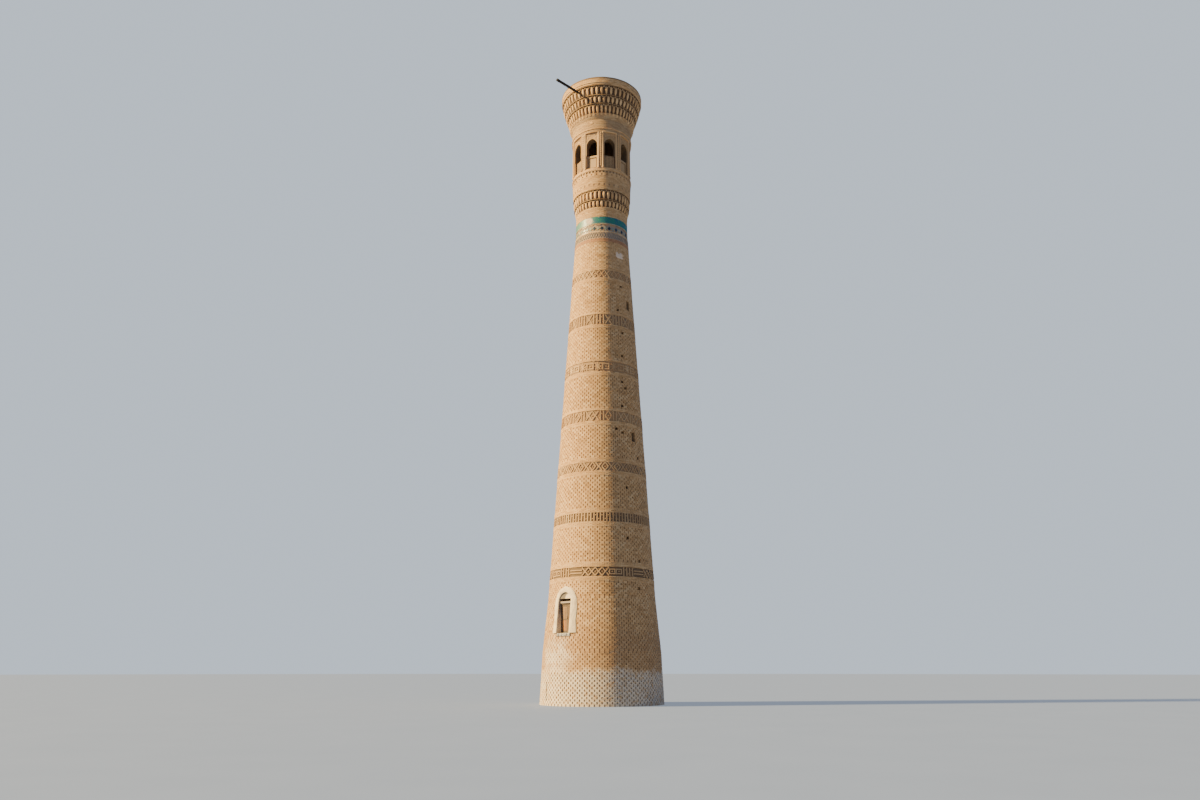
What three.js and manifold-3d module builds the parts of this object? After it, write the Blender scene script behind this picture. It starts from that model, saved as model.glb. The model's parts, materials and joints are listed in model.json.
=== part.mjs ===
// A tall brick minaret: a tapered round shaft with seven ornamental bands, glazed belts,
// a corbelled lower cornice, an arcaded lantern with ten windows and a flaring upper cornice.
// Millimetres, +Z up, origin at the centre of the base. Azimuths turn from the front (-Y)
// towards +X.

import * as THREE from 'three';
import { mergeVertices } from 'three/addons/utils/BufferGeometryUtils.js';
import Module from 'manifold-3d';

const wasm = await Module();
wasm.setup();

// General sizes
const facets = 40;
const gap = 0.3;
const far = 8000;

// Outline of the masonry: height and outer radius at each change of slope
const outerLine = [
  [0, 3425], [2760, 3302], [5590, 3032], [28030, 1688], [28620, 1655],
  [29500, 1650], [29760, 1668], [30270, 1800], [30930, 1860], [31870, 1890],
  [32460, 1900], [35270, 1940], [36000, 1950], [36370, 2117],
];
const innerLine = [[3510, 2050], [28030, 1150], [32460, 1150]];

// Levels of the shaft
const entryLevel = 3510;
const entryTop = 6400;
const bandLevels = [6400, 9370, 12270, 15250, 18310, 21370, 24510];
const bandHeight = 1040;
const collarLevel = 27300;
const starLevel = 28030;
const glazeLevel = 28620;
const neckLevel = 29080;
const lowerTiers = [29760, 30270, 30930];
const ledgeLevel = 31870;
const bandProud = 12;

// Doorway, seen from outside: half widths, levels and distances from the tower's axis
const doorTurn = -40.5;
const doorAzimuth = THREE.MathUtils.degToRad(doorTurn);
const doorHalf = 475;
const surroundWidth = 300;
const bayHalf = doorHalf + surroundWidth;
const archSpring = 5375;
const archRise = 515;
const sillTop = 3700;
const framePlane = 2905;
const frameDepth = 90;
const frameFace = 60;
const headLevel = 5190;
const headHeight = 80;
const lintelHeight = 100;
const lintelDepth = 150;
const thresholdHeight = 40;
const tympanumLevel = 5510;
const tympanumDepth = 60;
const tympanumSetBack = 90;
const sillProud = 40;

// Door leaves, which turn inwards on round posts
const leafClear = 5;
const postRadius = 25;
const leafThickness = 44;
const pivotRadius = 14;
const pivotLength = 30;
const pivotClear = 1.5;
const postFacets = 16;

// Slit windows of the shaft: azimuth, sill level, height and width
const slits = [
  { azimuth: 54, sill: 22860, height: 620, width: 270 },
  { azimuth: 47, sill: 14430, height: 550, width: 260 },
];

// Lantern
const lanternLevel = 32460;
const parapetTop = 33460;
const windowSpring = 34200;
const windowRise = 440;
const windowHalf = 360;
const lanternTop = 35270;
const lanternInner = 1430;
const bays = 10;
const bayAngle = (2 * Math.PI) / bays;
const pierAzimuth = THREE.MathUtils.degToRad(-2);
const recessHalf = 450;
const recessPlane = 1845;
const recessTop = 35080;
const panelPlane = 1680;
const floorThickness = 100;
const hatch = { half: 350, near: 300, length: 700 };
const wallParts = 5;

// Upper cornice, rim and roof
const upperTiers = [36370, 37000, 37520, 38150];
const upperRadii = [[2117, 2310], [2330, 2488], [2500, 2644]];
const upperCells = 50;
const lowerCells = 40;
const cellDepth = 70;
const rimTop = 38700;
const rimRadius = 2690;
const roofRadius = 1600;
const roofFoot = 38250;
const roofApex = 38640;
const roofShell = 200;
const roofSteps = 4;

// Timber beam under the rim
const beam = { azimuth: -45.4, offset: 435, level: 37890, side: 160, root: 2000, tip: 4470 };

// Colours and surface values
const finish = (color, roughness, metalness = 0) => (
  new THREE.MeshStandardMaterial({ color, roughness, metalness })
);
const brick = finish(0xc9a77c, 0.9);
const ornamentBrick = finish(0xa27c55, 0.9);
const paleBrick = finish(0xc4b196, 0.92);
const turquoise = finish(0x3f9a9a, 0.35);
const starTile = finish(0xa9b3a8, 0.45);
const plaster = finish(0xd9cdb8, 0.88);
const stone = finish(0xa6a196, 0.85);
const timber = finish(0x8d6b4a, 0.75);
const darkTimber = finish(0x4a3d33, 0.8);

const tower = new THREE.Group();
tower.name = 'minaret';

function add(name, geometry, material, azimuth = 0) {
  const mesh = new THREE.Mesh(geometry, material);
  mesh.name = name;
  mesh.rotation.z = azimuth;
  tower.add(mesh);
}

// Radius on a line of [level, radius] points
function radiusAt(line, level) {
  const next = line.findIndex(([z]) => z >= level);
  if (next <= 0) return line[next === 0 ? 0 : line.length - 1][1];
  const [z0, r0] = line[next - 1];
  const [z1, r1] = line[next];
  return r0 + ((r1 - r0) * (level - z0)) / (z1 - z0);
}

// Points of a line between two levels, as [radius, level], bottom to top
function stretch(line, low, high) {
  const between = line.filter(([z]) => z > low && z < high).map(([z, r]) => [r, z]);
  return [[radiusAt(line, low), low], ...between, [radiusAt(line, high), high]];
}

// Solid of revolution about Z from [radius, level] points
function turned(points, segments = facets) {
  const profile = points.map(([r, z]) => new THREE.Vector2(r, z));
  const geometry = new THREE.LatheGeometry(profile, segments);
  geometry.rotateX(Math.PI / 2);
  return geometry;
}

// Ring of masonry between two levels of the outline
function ring(low, high, inner = innerLine, proud = 0) {
  const outside = stretch(outerLine, low, high).map(([r, z]) => [r + proud, z]);
  const inside = stretch(inner, low, high).reverse();
  return turned([...outside, ...inside, outside[0]]);
}

function toSolid(geometry) {
  const plain = geometry.clone();
  plain.deleteAttribute('normal');
  plain.deleteAttribute('uv');
  const merged = mergeVertices(plain, 0.001);
  return new wasm.Manifold(new wasm.Mesh({
    numProp: 3,
    vertProperties: new Float32Array(merged.attributes.position.array),
    triVerts: new Uint32Array(merged.index.array),
  }));
}

function toGeometry(solid) {
  const mesh = solid.getMesh();
  const geometry = new THREE.BufferGeometry();
  geometry.setAttribute('position', new THREE.BufferAttribute(mesh.vertProperties, 3));
  geometry.setIndex(new THREE.BufferAttribute(mesh.triVerts, 1));
  geometry.computeVertexNormals();
  return geometry;
}

// Box from its sides: u to the right, n outwards from the axis, z up
function block([u0, u1], [n0, n1], [z0, z1]) {
  const geometry = new THREE.BoxGeometry(u1 - u0, n1 - n0, z1 - z0);
  geometry.translate((u0 + u1) / 2, -(n0 + n1) / 2, (z0 + z1) / 2);
  return geometry;
}

// Upright prism of the pie slice between two azimuths
function slice(from, to, low, high) {
  const shape = new THREE.Shape([
    new THREE.Vector2(0, 0),
    new THREE.Vector2(far * Math.sin(from), -far * Math.cos(from)),
    new THREE.Vector2(far * Math.sin(to), -far * Math.cos(to)),
  ]);
  const geometry = new THREE.ExtrudeGeometry(shape, { depth: high - low, bevelEnabled: false });
  geometry.translate(0, 0, low);
  return geometry;
}

// Pointed arch outline: two arcs that meet at the crown
function archShape(half, floor, spring, rise, steps) {
  const offset = (rise * rise - half * half) / (2 * half);
  const radius = half + offset;
  const sweep = Math.acos(offset / radius);
  const shape = new THREE.Shape();
  shape.moveTo(-half, floor);
  shape.lineTo(half, floor);
  for (let i = 0; i <= steps; i += 1) {
    const turn = (sweep * i) / steps;
    shape.lineTo(radius * Math.cos(turn) - offset, spring + radius * Math.sin(turn));
  }
  for (let i = steps - 1; i >= 0; i -= 1) {
    const turn = (sweep * i) / steps;
    shape.lineTo(offset - radius * Math.cos(turn), spring + radius * Math.sin(turn));
  }
  return shape;
}

// Arch outline pushed outwards from the axis, between two distances
function archPrism(shape, [n0, n1]) {
  const geometry = new THREE.ExtrudeGeometry(shape, { depth: n1 - n0, bevelEnabled: false });
  geometry.rotateX(Math.PI / 2);
  geometry.translate(0, -n0, 0);
  return geometry;
}

function addBase() {
  const outside = stretch(outerLine, 0, entryLevel);
  add('base_masonry', turned([[0, 0], ...outside, [0, entryLevel]]), paleBrick);
}

// Floor inside the wall, with a tongue that runs out to the back of the door
function addEntryFloor() {
  const radius = radiusAt(innerLine, sillTop) - gap;
  const disc = turned([[0, entryLevel], [radius, entryLevel], [radius, sillTop], [0, sillTop]]);
  const tongue = block(
    [-bayHalf + gap, bayHalf - gap],
    [0, framePlane - frameDepth - gap],
    [entryLevel, sillTop],
  );
  tongue.rotateZ(doorAzimuth);
  add('entry_floor', toGeometry(toSolid(disc).add(toSolid(tongue))), stone);
}

// Wall at the door: three segments beside the doorway and one piece over it
function addEntryWall() {
  const wall = toSolid(ring(entryLevel, entryTop));
  const bay = block([-bayHalf - gap, bayHalf + gap], [0, far], [0, entryTop + far]);
  bay.rotateZ(doorAzimuth);
  const beside = wall.subtract(toSolid(bay));
  const third = (2 * Math.PI) / 3;
  ['entry_wall_right', 'entry_wall_back', 'entry_wall_left'].forEach((name, i) => {
    const seam = gap / radiusAt(innerLine, entryLevel);
    const from = doorAzimuth + i * third + seam;
    const wedge = slice(from, from + third - seam, 0, far);
    add(name, toGeometry(beside.intersect(toSolid(wedge))), brick);
  });
  const centre = block([-bayHalf, bayHalf], [0, far], [0, entryTop + far]);
  centre.rotateZ(doorAzimuth);
  const extrados = archRise + surroundWidth;
  const clear = archPrism(archShape(bayHalf + gap, 0, archSpring, extrados, 6), [0, far]);
  clear.rotateZ(doorAzimuth);
  const over = wall.intersect(toSolid(centre)).subtract(toSolid(clear));
  add('entry_wall_over_door', toGeometry(over), brick);
}

// Plastered arch that lines the outer part of the doorway
function addDoorSurround() {
  const extrados = archRise + surroundWidth - gap;
  const outer = archPrism(
    archShape(bayHalf - gap, entryLevel, archSpring, extrados, 6),
    [framePlane, far],
  );
  const inner = archPrism(archShape(doorHalf, 0, archSpring, archRise, 6), [0, far]);
  const lining = toSolid(outer).subtract(toSolid(inner)).rotate([0, 0, doorTurn]);
  const wall = toSolid(ring(entryLevel, entryTop));
  add('door_surround', toGeometry(lining.intersect(wall)), plaster);
}

function addDoorSill() {
  const front = radiusAt(outerLine, entryLevel) + sillProud;
  const sides = [-doorHalf + gap, doorHalf - gap];
  const sill = block(sides, [framePlane - frameDepth, front], [entryLevel, sillTop]);
  add('door_sill', sill, stone, doorAzimuth);
}

// Post line of a leaf, measured from the middle of the doorway
const postLine = doorHalf - frameFace - leafClear - postRadius;
const leafPlane = framePlane - frameDepth / 2;

function pivotHole(side, low, high) {
  const hole = new THREE.CylinderGeometry(
    pivotRadius + pivotClear,
    pivotRadius + pivotClear,
    high - low,
    postFacets,
  );
  hole.rotateX(Math.PI / 2);
  hole.translate(side * postLine, -leafPlane, (low + high) / 2);
  return toSolid(hole);
}

// Timber frame: jambs, head and threshold with sockets for the posts' pivots
function addDoorFrame() {
  const depth = [framePlane - frameDepth, framePlane - gap];
  const outer = doorHalf - gap;
  const inner = doorHalf - frameFace;
  const top = headLevel + headHeight;
  let frame = toSolid(block([-outer, outer], depth, [sillTop + gap, top]));
  const light = block([-inner, inner], [0, far], [sillTop + thresholdHeight, headLevel]);
  frame = frame.subtract(toSolid(light));
  const threshold = sillTop + thresholdHeight;
  [-1, 1].forEach((side) => {
    frame = frame.subtract(pivotHole(side, threshold - pivotLength - gap, threshold + 1));
    frame = frame.subtract(pivotHole(side, headLevel - 1, headLevel + pivotLength + gap));
  });
  add('door_frame', toGeometry(frame), timber, doorAzimuth);
}

// Leaf: a board on a round post whose pivots stand in the frame
function addDoorLeaf(name, side) {
  const low = sillTop + thresholdHeight;
  const bottom = low + leafClear;
  const top = headLevel - leafClear;
  const board = block(
    side > 0 ? [leafClear / 2, postLine] : [-postLine, -leafClear / 2],
    [leafPlane - leafThickness / 2, leafPlane + leafThickness / 2],
    [bottom, top],
  );
  const post = new THREE.CylinderGeometry(postRadius, postRadius, top - bottom, postFacets);
  post.rotateX(Math.PI / 2);
  post.translate(side * postLine, -leafPlane, (top + bottom) / 2);
  const pivotLow = low - pivotLength;
  const pivotHigh = headLevel + pivotLength;
  const pivot = new THREE.CylinderGeometry(
    pivotRadius,
    pivotRadius,
    pivotHigh - pivotLow,
    postFacets,
  );
  pivot.rotateX(Math.PI / 2);
  pivot.translate(side * postLine, -leafPlane, (pivotHigh + pivotLow) / 2);
  const leaf = toSolid(board).add(toSolid(post)).add(toSolid(pivot));
  add(name, toGeometry(leaf), timber, doorAzimuth);
}

// Board over the frame, and the plastered panel that closes the arch above it
function addDoorHead() {
  const low = headLevel + headHeight + gap;
  const lintel = block(
    [-doorHalf + gap, doorHalf - gap],
    [framePlane - frameDepth, framePlane - frameDepth + lintelDepth],
    [low, low + lintelHeight],
  );
  add('door_lintel', lintel, timber, doorAzimuth);
  const back = framePlane + tympanumSetBack - tympanumDepth;
  const panel = archPrism(
    archShape(doorHalf - gap, sillTop, archSpring, archRise - gap, 6),
    [back, back + tympanumDepth],
  );
  const above = block([-doorHalf, doorHalf], [0, far], [tympanumLevel, far]);
  const cut = toSolid(panel).intersect(toSolid(above));
  add('door_tympanum', toGeometry(cut), plaster, doorAzimuth);
}

// Cutter for a slit window, turned to its azimuth
function slitCutter({ azimuth, sill, height, width }) {
  const hole = block([-width / 2, width / 2], [0, far], [sill, sill + height]);
  hole.rotateZ(THREE.MathUtils.degToRad(azimuth));
  return toSolid(hole);
}

// Shaft: ornamental bands with plain drums between them
function addShaft() {
  bandLevels.forEach((low, i) => {
    const top = low + bandHeight;
    const next = i + 1 < bandLevels.length ? bandLevels[i + 1] : collarLevel;
    add(`band_${i + 1}`, ring(low, top, innerLine, bandProud), ornamentBrick);
    let drum = toSolid(ring(top, next));
    slits.filter(({ sill }) => sill > top && sill < next).forEach((slit) => {
      drum = drum.subtract(slitCutter(slit));
    });
    add(`drum_${i + 1}`, toGeometry(drum), brick);
  });
}

// Collar of patterned brick, star tiles, glazed belt and plain neck
function addBelts() {
  add('patterned_collar', ring(collarLevel, starLevel, innerLine, bandProud), ornamentBrick);
  add('star_tile_belt', ring(starLevel, glazeLevel), starTile);
  add('glazed_belt', ring(glazeLevel, neckLevel), turquoise);
  add('neck', ring(neckLevel, lowerTiers[0]), brick);
}

// Tier of niche cells: every second upright line of the ring is pulled in to make the niches
function cellTier(low, high, [bottom, top], inner, cells) {
  const height = high - low;
  const flare = top - bottom;
  const rows = [
    [bottom, low],
    [bottom + flare * 0.5, low + height * 0.4],
    [top, low + height * 0.8],
    [top, high],
  ];
  const points = [...rows, [inner, high], [inner, low], rows[0]];
  const geometry = turned(points, cells * 2);
  const position = geometry.attributes.position;
  const nicheRadii = new Map([[1, bottom - cellDepth / 2], [2, top - flare / 2 - cellDepth]]);
  for (let column = 1; column < cells * 2; column += 2) {
    nicheRadii.forEach((radius, row) => {
      const index = column * points.length + row;
      const angle = (Math.PI * column) / cells;
      position.setX(index, radius * Math.sin(angle));
      position.setY(index, -radius * Math.cos(angle));
    });
  }
  return geometry;
}

function addLowerCornice() {
  const radii = lowerTiers.map((z) => radiusAt(outerLine, z));
  ['lower_cornice_tier_1', 'lower_cornice_tier_2'].forEach((name, i) => {
    const inner = radiusAt(innerLine, lowerTiers[i]);
    const span = [radii[i], radii[i + 1]];
    const tier = cellTier(lowerTiers[i], lowerTiers[i + 1], span, inner, lowerCells);
    add(name, tier, ornamentBrick, (i * Math.PI) / lowerCells);
  });
  add('lantern_drum', ring(lowerTiers[2], ledgeLevel), brick);
  add('lantern_ledge', ring(ledgeLevel, lanternLevel, innerLine, bandProud), ornamentBrick);
}

function addLanternFloor() {
  const top = lanternLevel + floorThickness;
  const radius = lanternInner - gap;
  const disc = turned([[0, lanternLevel], [radius, lanternLevel], [radius, top], [0, top]]);
  const hole = block(
    [-hatch.half, hatch.half],
    [-hatch.near - hatch.length, -hatch.near],
    [lanternLevel - floorThickness, rimTop],
  );
  add('lantern_floor', toGeometry(toSolid(disc).subtract(toSolid(hole))), timber);
}

// Cutters of one lantern bay: shallow frame recess, panel recess and arched window
function bayCutters(azimuth) {
  const frame = block([-recessHalf, recessHalf], [recessPlane, far], [0, recessTop]);
  const panel = block([-windowHalf, windowHalf], [panelPlane, far], [0, parapetTop + gap]);
  const window = archPrism(
    archShape(windowHalf, parapetTop - far, windowSpring, windowRise, 5),
    [0, far],
  );
  return [frame, panel, window].map((geometry) => {
    geometry.rotateZ(azimuth);
    return toSolid(geometry);
  });
}

// Lantern: a parapet ring with recessed panels, and above it the arcade in five parts
function addLantern() {
  const inner = [[lanternLevel, lanternInner], [lanternTop, lanternInner]];
  let parapet = toSolid(ring(lanternLevel, parapetTop, inner));
  let arcade = toSolid(ring(parapetTop, lanternTop, inner));
  for (let i = 0; i < bays; i += 1) {
    const [frame, panel, window] = bayCutters(pierAzimuth + (i + 0.5) * bayAngle);
    parapet = parapet.subtract(frame).subtract(panel);
    arcade = arcade.subtract(frame).subtract(window);
  }
  add('lantern_parapet', toGeometry(parapet), brick);
  const share = (2 * Math.PI) / wallParts;
  const seam = gap / lanternInner;
  for (let i = 0; i < wallParts; i += 1) {
    const from = pierAzimuth + i * share + seam;
    const wedge = slice(from, from + share - seam, 0, rimTop);
    add(`lantern_arcade_${i + 1}`, toGeometry(arcade.intersect(toSolid(wedge))), brick);
  }
  const above = [[lanternTop, lanternInner], [upperTiers[0], lanternInner]];
  add('lantern_crown', ring(lanternTop, upperTiers[0], above), brick);
}

function addUpperCornice() {
  const socket = block(
    [beam.offset - beam.side / 2 - gap, beam.offset + beam.side / 2 + gap],
    [beam.root - gap, far],
    [beam.level - beam.side / 2 - gap, beam.level + beam.side / 2 + gap],
  );
  socket.rotateZ(THREE.MathUtils.degToRad(beam.azimuth));
  upperRadii.forEach((span, i) => {
    const tier = cellTier(upperTiers[i], upperTiers[i + 1], span, lanternInner, upperCells);
    tier.rotateZ(((i % 2) * Math.PI) / upperCells);
    const holdsBeam = beam.level > upperTiers[i] && beam.level < upperTiers[i + 1];
    const body = holdsBeam ? toGeometry(toSolid(tier).subtract(toSolid(socket))) : tier;
    add(`upper_cornice_tier_${i + 1}`, body, ornamentBrick);
  });
}

// Rim of stepped courses above the cornice
function addRim() {
  const low = upperTiers[3];
  const foot = upperRadii[2][1];
  const step = (rimTop - low) / 4;
  const outside = [
    [foot, low], [foot + 10, low + step], [rimRadius, low + 2 * step], [rimRadius, rimTop],
  ];
  const points = [...outside, [roofRadius, rimTop], [roofRadius, low], outside[0]];
  add('rim', turned(points), paleBrick);
}

// Low dome that roofs the lantern inside the rim
function addRoof() {
  const low = upperTiers[3];
  const foot = roofRadius - gap;
  const rise = roofApex - roofFoot;
  const under = [];
  const over = [];
  for (let i = 0; i <= roofSteps; i += 1) {
    const turn = (Math.PI / 2) * (i / roofSteps);
    over.push([foot * Math.cos(turn), roofFoot + rise * Math.sin(turn)]);
    under.push([lanternInner * Math.sin(turn), low + (roofApex - roofShell - low) * Math.cos(turn)]);
  }
  over[roofSteps][0] = 0;
  add('roof_dome', turned([...under, [foot, low], ...over]), paleBrick);
}

function addBeam() {
  const stick = block(
    [beam.offset - beam.side / 2, beam.offset + beam.side / 2],
    [beam.root, beam.tip],
    [beam.level - beam.side / 2, beam.level + beam.side / 2],
  );
  add('rim_beam', stick, darkTimber, THREE.MathUtils.degToRad(beam.azimuth));
}

addBase();
addEntryFloor();
addEntryWall();
addDoorSurround();
addDoorSill();
addDoorFrame();
addDoorLeaf('door_leaf_left', -1);
addDoorLeaf('door_leaf_right', 1);
addDoorHead();
addShaft();
addBelts();
addLowerCornice();
addLanternFloor();
addLantern();
addUpperCornice();
addRim();
addRoof();
addBeam();

export default tower;
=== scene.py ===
import itertools
import json
import math
import random
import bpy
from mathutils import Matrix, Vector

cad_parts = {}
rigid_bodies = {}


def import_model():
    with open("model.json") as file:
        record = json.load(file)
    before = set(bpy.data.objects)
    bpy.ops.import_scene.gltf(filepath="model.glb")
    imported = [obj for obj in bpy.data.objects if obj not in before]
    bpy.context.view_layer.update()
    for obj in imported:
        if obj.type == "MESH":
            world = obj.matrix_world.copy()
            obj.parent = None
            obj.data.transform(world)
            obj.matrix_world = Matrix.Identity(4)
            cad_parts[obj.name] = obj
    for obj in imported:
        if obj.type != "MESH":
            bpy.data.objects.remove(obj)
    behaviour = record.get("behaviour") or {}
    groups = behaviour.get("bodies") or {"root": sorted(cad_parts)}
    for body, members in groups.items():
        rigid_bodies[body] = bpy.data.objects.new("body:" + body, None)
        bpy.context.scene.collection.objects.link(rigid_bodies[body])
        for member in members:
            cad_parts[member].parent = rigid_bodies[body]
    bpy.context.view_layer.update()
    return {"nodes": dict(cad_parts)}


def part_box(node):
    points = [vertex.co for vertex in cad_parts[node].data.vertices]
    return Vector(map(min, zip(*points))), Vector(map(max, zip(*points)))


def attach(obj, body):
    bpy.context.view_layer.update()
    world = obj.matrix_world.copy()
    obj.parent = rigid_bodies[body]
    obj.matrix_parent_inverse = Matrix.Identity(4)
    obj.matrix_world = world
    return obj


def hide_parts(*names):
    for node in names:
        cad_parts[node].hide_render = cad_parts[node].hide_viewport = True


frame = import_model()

from types import SimpleNamespace

import bmesh
import bpy
from mathutils import Vector

scene = bpy.context.scene
print('frame loaded:', len(frame['nodes']), 'nodes')

tower = {
    'outline': [  # level and outer radius at each change of slope
        (0, 3.421), (2.76, 3.302), (5.59, 3.032), (28.03, 1.688), (28.62, 1.655), (29.5, 1.65),
        (29.76, 1.668), (30.27, 1.8), (30.93, 1.86), (31.87, 1.89), (32.46, 1.9), (35.27, 1.94),
        (36, 1.95), (36.37, 2.117),
    ],
    'inside': [(0, 1.2), (3.5, 1.2), (3.51, 2.05), (28.03, 1.15), (32.46, 1.15)],
    'segments': 160,
    'bandProud': 0.012,
    'rootDepth': 0.06,  # how far a brick reaches into the wall
}


def operator(operation, reflected=False):
    def work(self, other):
        pair = (other, self) if reflected else (self, other)
        return self.graph.maths(operation, *pair)
    return work


class Wire:  # a socket that can be used in sums
    def __init__(self, graph, socket):
        self.graph = graph
        self.socket = socket

    __add__, __radd__ = operator('ADD'), operator('ADD', True)
    __sub__, __rsub__ = operator('SUBTRACT'), operator('SUBTRACT', True)
    __mul__, __rmul__ = operator('MULTIPLY'), operator('MULTIPLY', True)
    __truediv__, __gt__ = operator('DIVIDE'), operator('GREATER_THAN')


class Graph:  # the nodes of one material or one Geometry Nodes tree
    def __init__(self, tree):
        self.tree = tree

    def add(self, kind, settings=None, values=None, output=0):
        node = self.tree.nodes.new(kind)
        for name, value in (settings or {}).items():
            if name == 'stops':
                self.setStops(node.color_ramp, value)
            else:
                setattr(node, name, value)
        for name, value in (values or {}).items():
            for each in value if isinstance(value, list) else [value]:
                self.feed(node.inputs[name], each)
        return Wire(self, node.outputs[output]) if node.outputs else None

    def feed(self, socket, value):
        if isinstance(value, Wire):
            self.tree.links.new(value.socket, socket)
        else:
            socket.default_value = (*value, 1) if socket.type == 'RGBA' else value

    def setStops(self, ramp, stops):
        while len(ramp.elements) < len(stops):
            ramp.elements.new(0.5)
        for element, (place, color) in zip(ramp.elements, stops):
            element.position = place
            element.color = (*color, 1)

    def maths(self, operation, *values):
        return self.add('ShaderNodeMath', {'operation': operation}, dict(enumerate(values)))

    def length(self, across, up):
        return self.maths('SQRT', across * across + up * up)

    def split(self, vector):
        node = self.add('ShaderNodeSeparateXYZ', None, {0: vector}).socket.node
        return [Wire(self, socket) for socket in node.outputs]

    def gather(self, x, y, z):
        return self.add('ShaderNodeCombineXYZ', None, {0: x, 1: y, 2: z})

    def mix(self, share, first, second, way='MIX'):
        settings = {'data_type': 'RGBA', 'blend_type': way}
        return self.add('ShaderNodeMix', settings, {0: share, 6: first, 7: second}, 2)

    def shaded(self, color, shade):
        return self.mix(1.0, color, self.gather(shade, shade, shade), 'MULTIPLY')

    def noise(self, vector, scale, detail=3, rough=0.55):
        values = {'Vector': vector, 'Scale': scale, 'Detail': detail, 'Roughness': rough}
        return self.add('ShaderNodeTexNoise', None, values)

    def threeNoises(self, vector, scale, detail):
        values = {'Vector': vector, 'Scale': scale, 'Detail': detail}
        return self.add('ShaderNodeTexNoise', None, values, 'Color')

    def ramp(self, share, stops):
        return self.add('ShaderNodeValToRGB', {'stops': stops}, {0: share})

    def step(self, value, low, high):  # 0 below low, 1 above high, smooth between
        values = {'Value': value, 'From Min': low, 'From Max': high}
        return self.add('ShaderNodeMapRange', {'interpolation_type': 'SMOOTHSTEP'}, values)

    def tone(self):  # what each brick, tile or board has drawn for itself
        return self.add('ShaderNodeAttribute', {'attribute_name': 'tone'}, None, 'Fac')


def finish(name, paint, *values):  # a material whose paint function returns the shader's values
    material = bpy.data.materials.new(name)
    material.use_nodes = True
    graph = Graph(material.node_tree)
    shader = material.node_tree.nodes['Principled BSDF']
    look = paint(graph, graph.add('ShaderNodeTexCoord', None, None, 'Object'), *values)
    if 'Height' in look:
        values = {'Height': look.pop('Height'), 'Distance': look.pop('Relief', 0.004)}
        look['Normal'] = graph.add('ShaderNodeBump', None, values)
    for socket, value in look.items():
        graph.feed(shader.inputs[socket], value)
    return material


def radiusOf(graph, place):
    return graph.length(*graph.split(place)[:2])


def azimuthOf(graph, place):  # degrees from the front, positive to the right
    x, y, z = graph.split(place)
    return graph.maths('ARCTAN2', x, 0 - y) * (180 / math.pi)


def spot(graph, place, azimuth, level, wide, tall, core=0.55):  # soft patch on the wall, wide in degrees
    ragged = (graph.noise(place, 2.2, 4) - 0.5) * 1.4
    across = (azimuthOf(graph, place) - azimuth) / wide
    up = (graph.split(place)[2] - level) / tall
    return 1 - graph.step(graph.length(across, up) + ragged, core, 1.1)


doorway = {
    'azimuth': -40.5, 'half': 0.475, 'cutHalf': 0.5, 'spring': 5.375, 'rise': 0.515,
    'cutRise': 0.54, 'floor': 3.51, 'sill': 3.70, 'plane': 2.905,
}
brickLook = {
    'fired': [  # brick tones from dark to pale
        (0.0, (0.49, 0.275, 0.11)), (0.25, (0.58, 0.335, 0.142)), (0.7, (0.655, 0.395, 0.174)),
        (1.0, (0.71, 0.458, 0.222)),
    ],
    'salt': (0.82, 0.70, 0.54), 'saltLevels': (1.5, 1.95), 'saltPatch': (-50, 2.3, 30, 1.6, 0.0),
    'clay': (0.46, 0.257, 0.117), 'clayFoot': (1.6, 2.1), 'clayTop': (3.4, 4.2),
    'red': (0.44, 0.175, 0.09), 'sootAndShade': (0.27, 0.165, 0.092), 'grey': (0.50, 0.47, 0.42),
    'rough': 0.88,
}
brickTones = {  # how bright, how red and how grey each kind is
    'wallBrick': (1.0,), 'borderBrick': (1.03,), 'ornamentBrick': (0.86, 0.0, 0.08),
    # courseBrick is darker to paint the shade on the course under each cornice tier
    'lanternBrick': (0.77, 0.0, 0.06), 'bracketBrick': (1.10,), 'courseBrick': (0.66, 0.1),
    'redBrick': (0.92, 0.6), 'darkBrick': (0.42,), 'greyBrick': (0.8, 0.0, 0.45),
    'darkRecess': (0.38, 0.0, 0.12), 'recess': (0.64, 0.0, 0.12), 'paleRecess': (0.80, 0.0, 0.08),
    # this dark tone paints the shade inside the cornice niches and behind the lattices
    'nicheJoint': (0.22, 0.3),
}


def paintBrick(graph, place, bright=1.0, red=0.0, grey=0.0):
    z = graph.split(place)[2]
    grain = graph.noise(place, 34, 4, 0.65)
    stain = graph.noise(place, 0.55, 5, 0.6)
    fine = graph.noise(place, 5.5, 4)
    edge = (graph.noise(place, 1.1, 3) - 0.5) * 1.6
    ragged = (graph.noise(place, 3.4, 4) - 0.5) * 0.9
    clayTop = graph.step(z + edge, *brickLook['clayTop'])
    clay = graph.step(z + edge, *brickLook['clayFoot']) * (1 - clayTop)
    salt = 1 - graph.step(z + edge * 0.35 + ragged, *brickLook['saltLevels'])
    patch = spot(graph, place, *brickLook['saltPatch'])
    pale = graph.maths('MAXIMUM', salt * 0.75, patch * 0.8)
    color = graph.mix(clay * 0.48, graph.ramp(graph.tone(), brickLook['fired']), brickLook['clay'])
    color = graph.mix(red, color, brickLook['red'])
    color = graph.mix(pale * graph.step(fine, 0.25, 0.55), color, brickLook['salt'])
    color = graph.mix(graph.step(stain, 0.5, 0.75) * 0.22, color, brickLook['sootAndShade'])
    color = graph.mix(grey, color, brickLook['grey'])
    return {
        'Base Color': graph.shaded(color, bright * (0.84 + grain * 0.32)),
        'Roughness': brickLook['rough'] + (grain - 0.5) * 0.12,
        'Height': grain * 0.7 + fine * 0.3, 'Relief': 0.006,
    }


jointLook = {'pale': (0.47, 0.30, 0.16), 'dark': (0.28, 0.175, 0.09), 'salted': (0.38, 0.32, 0.235)}
jointTones = {'joint': (1.0,), 'greyJoint': (0.8, 0.4)}  # how bright and how grey


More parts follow.
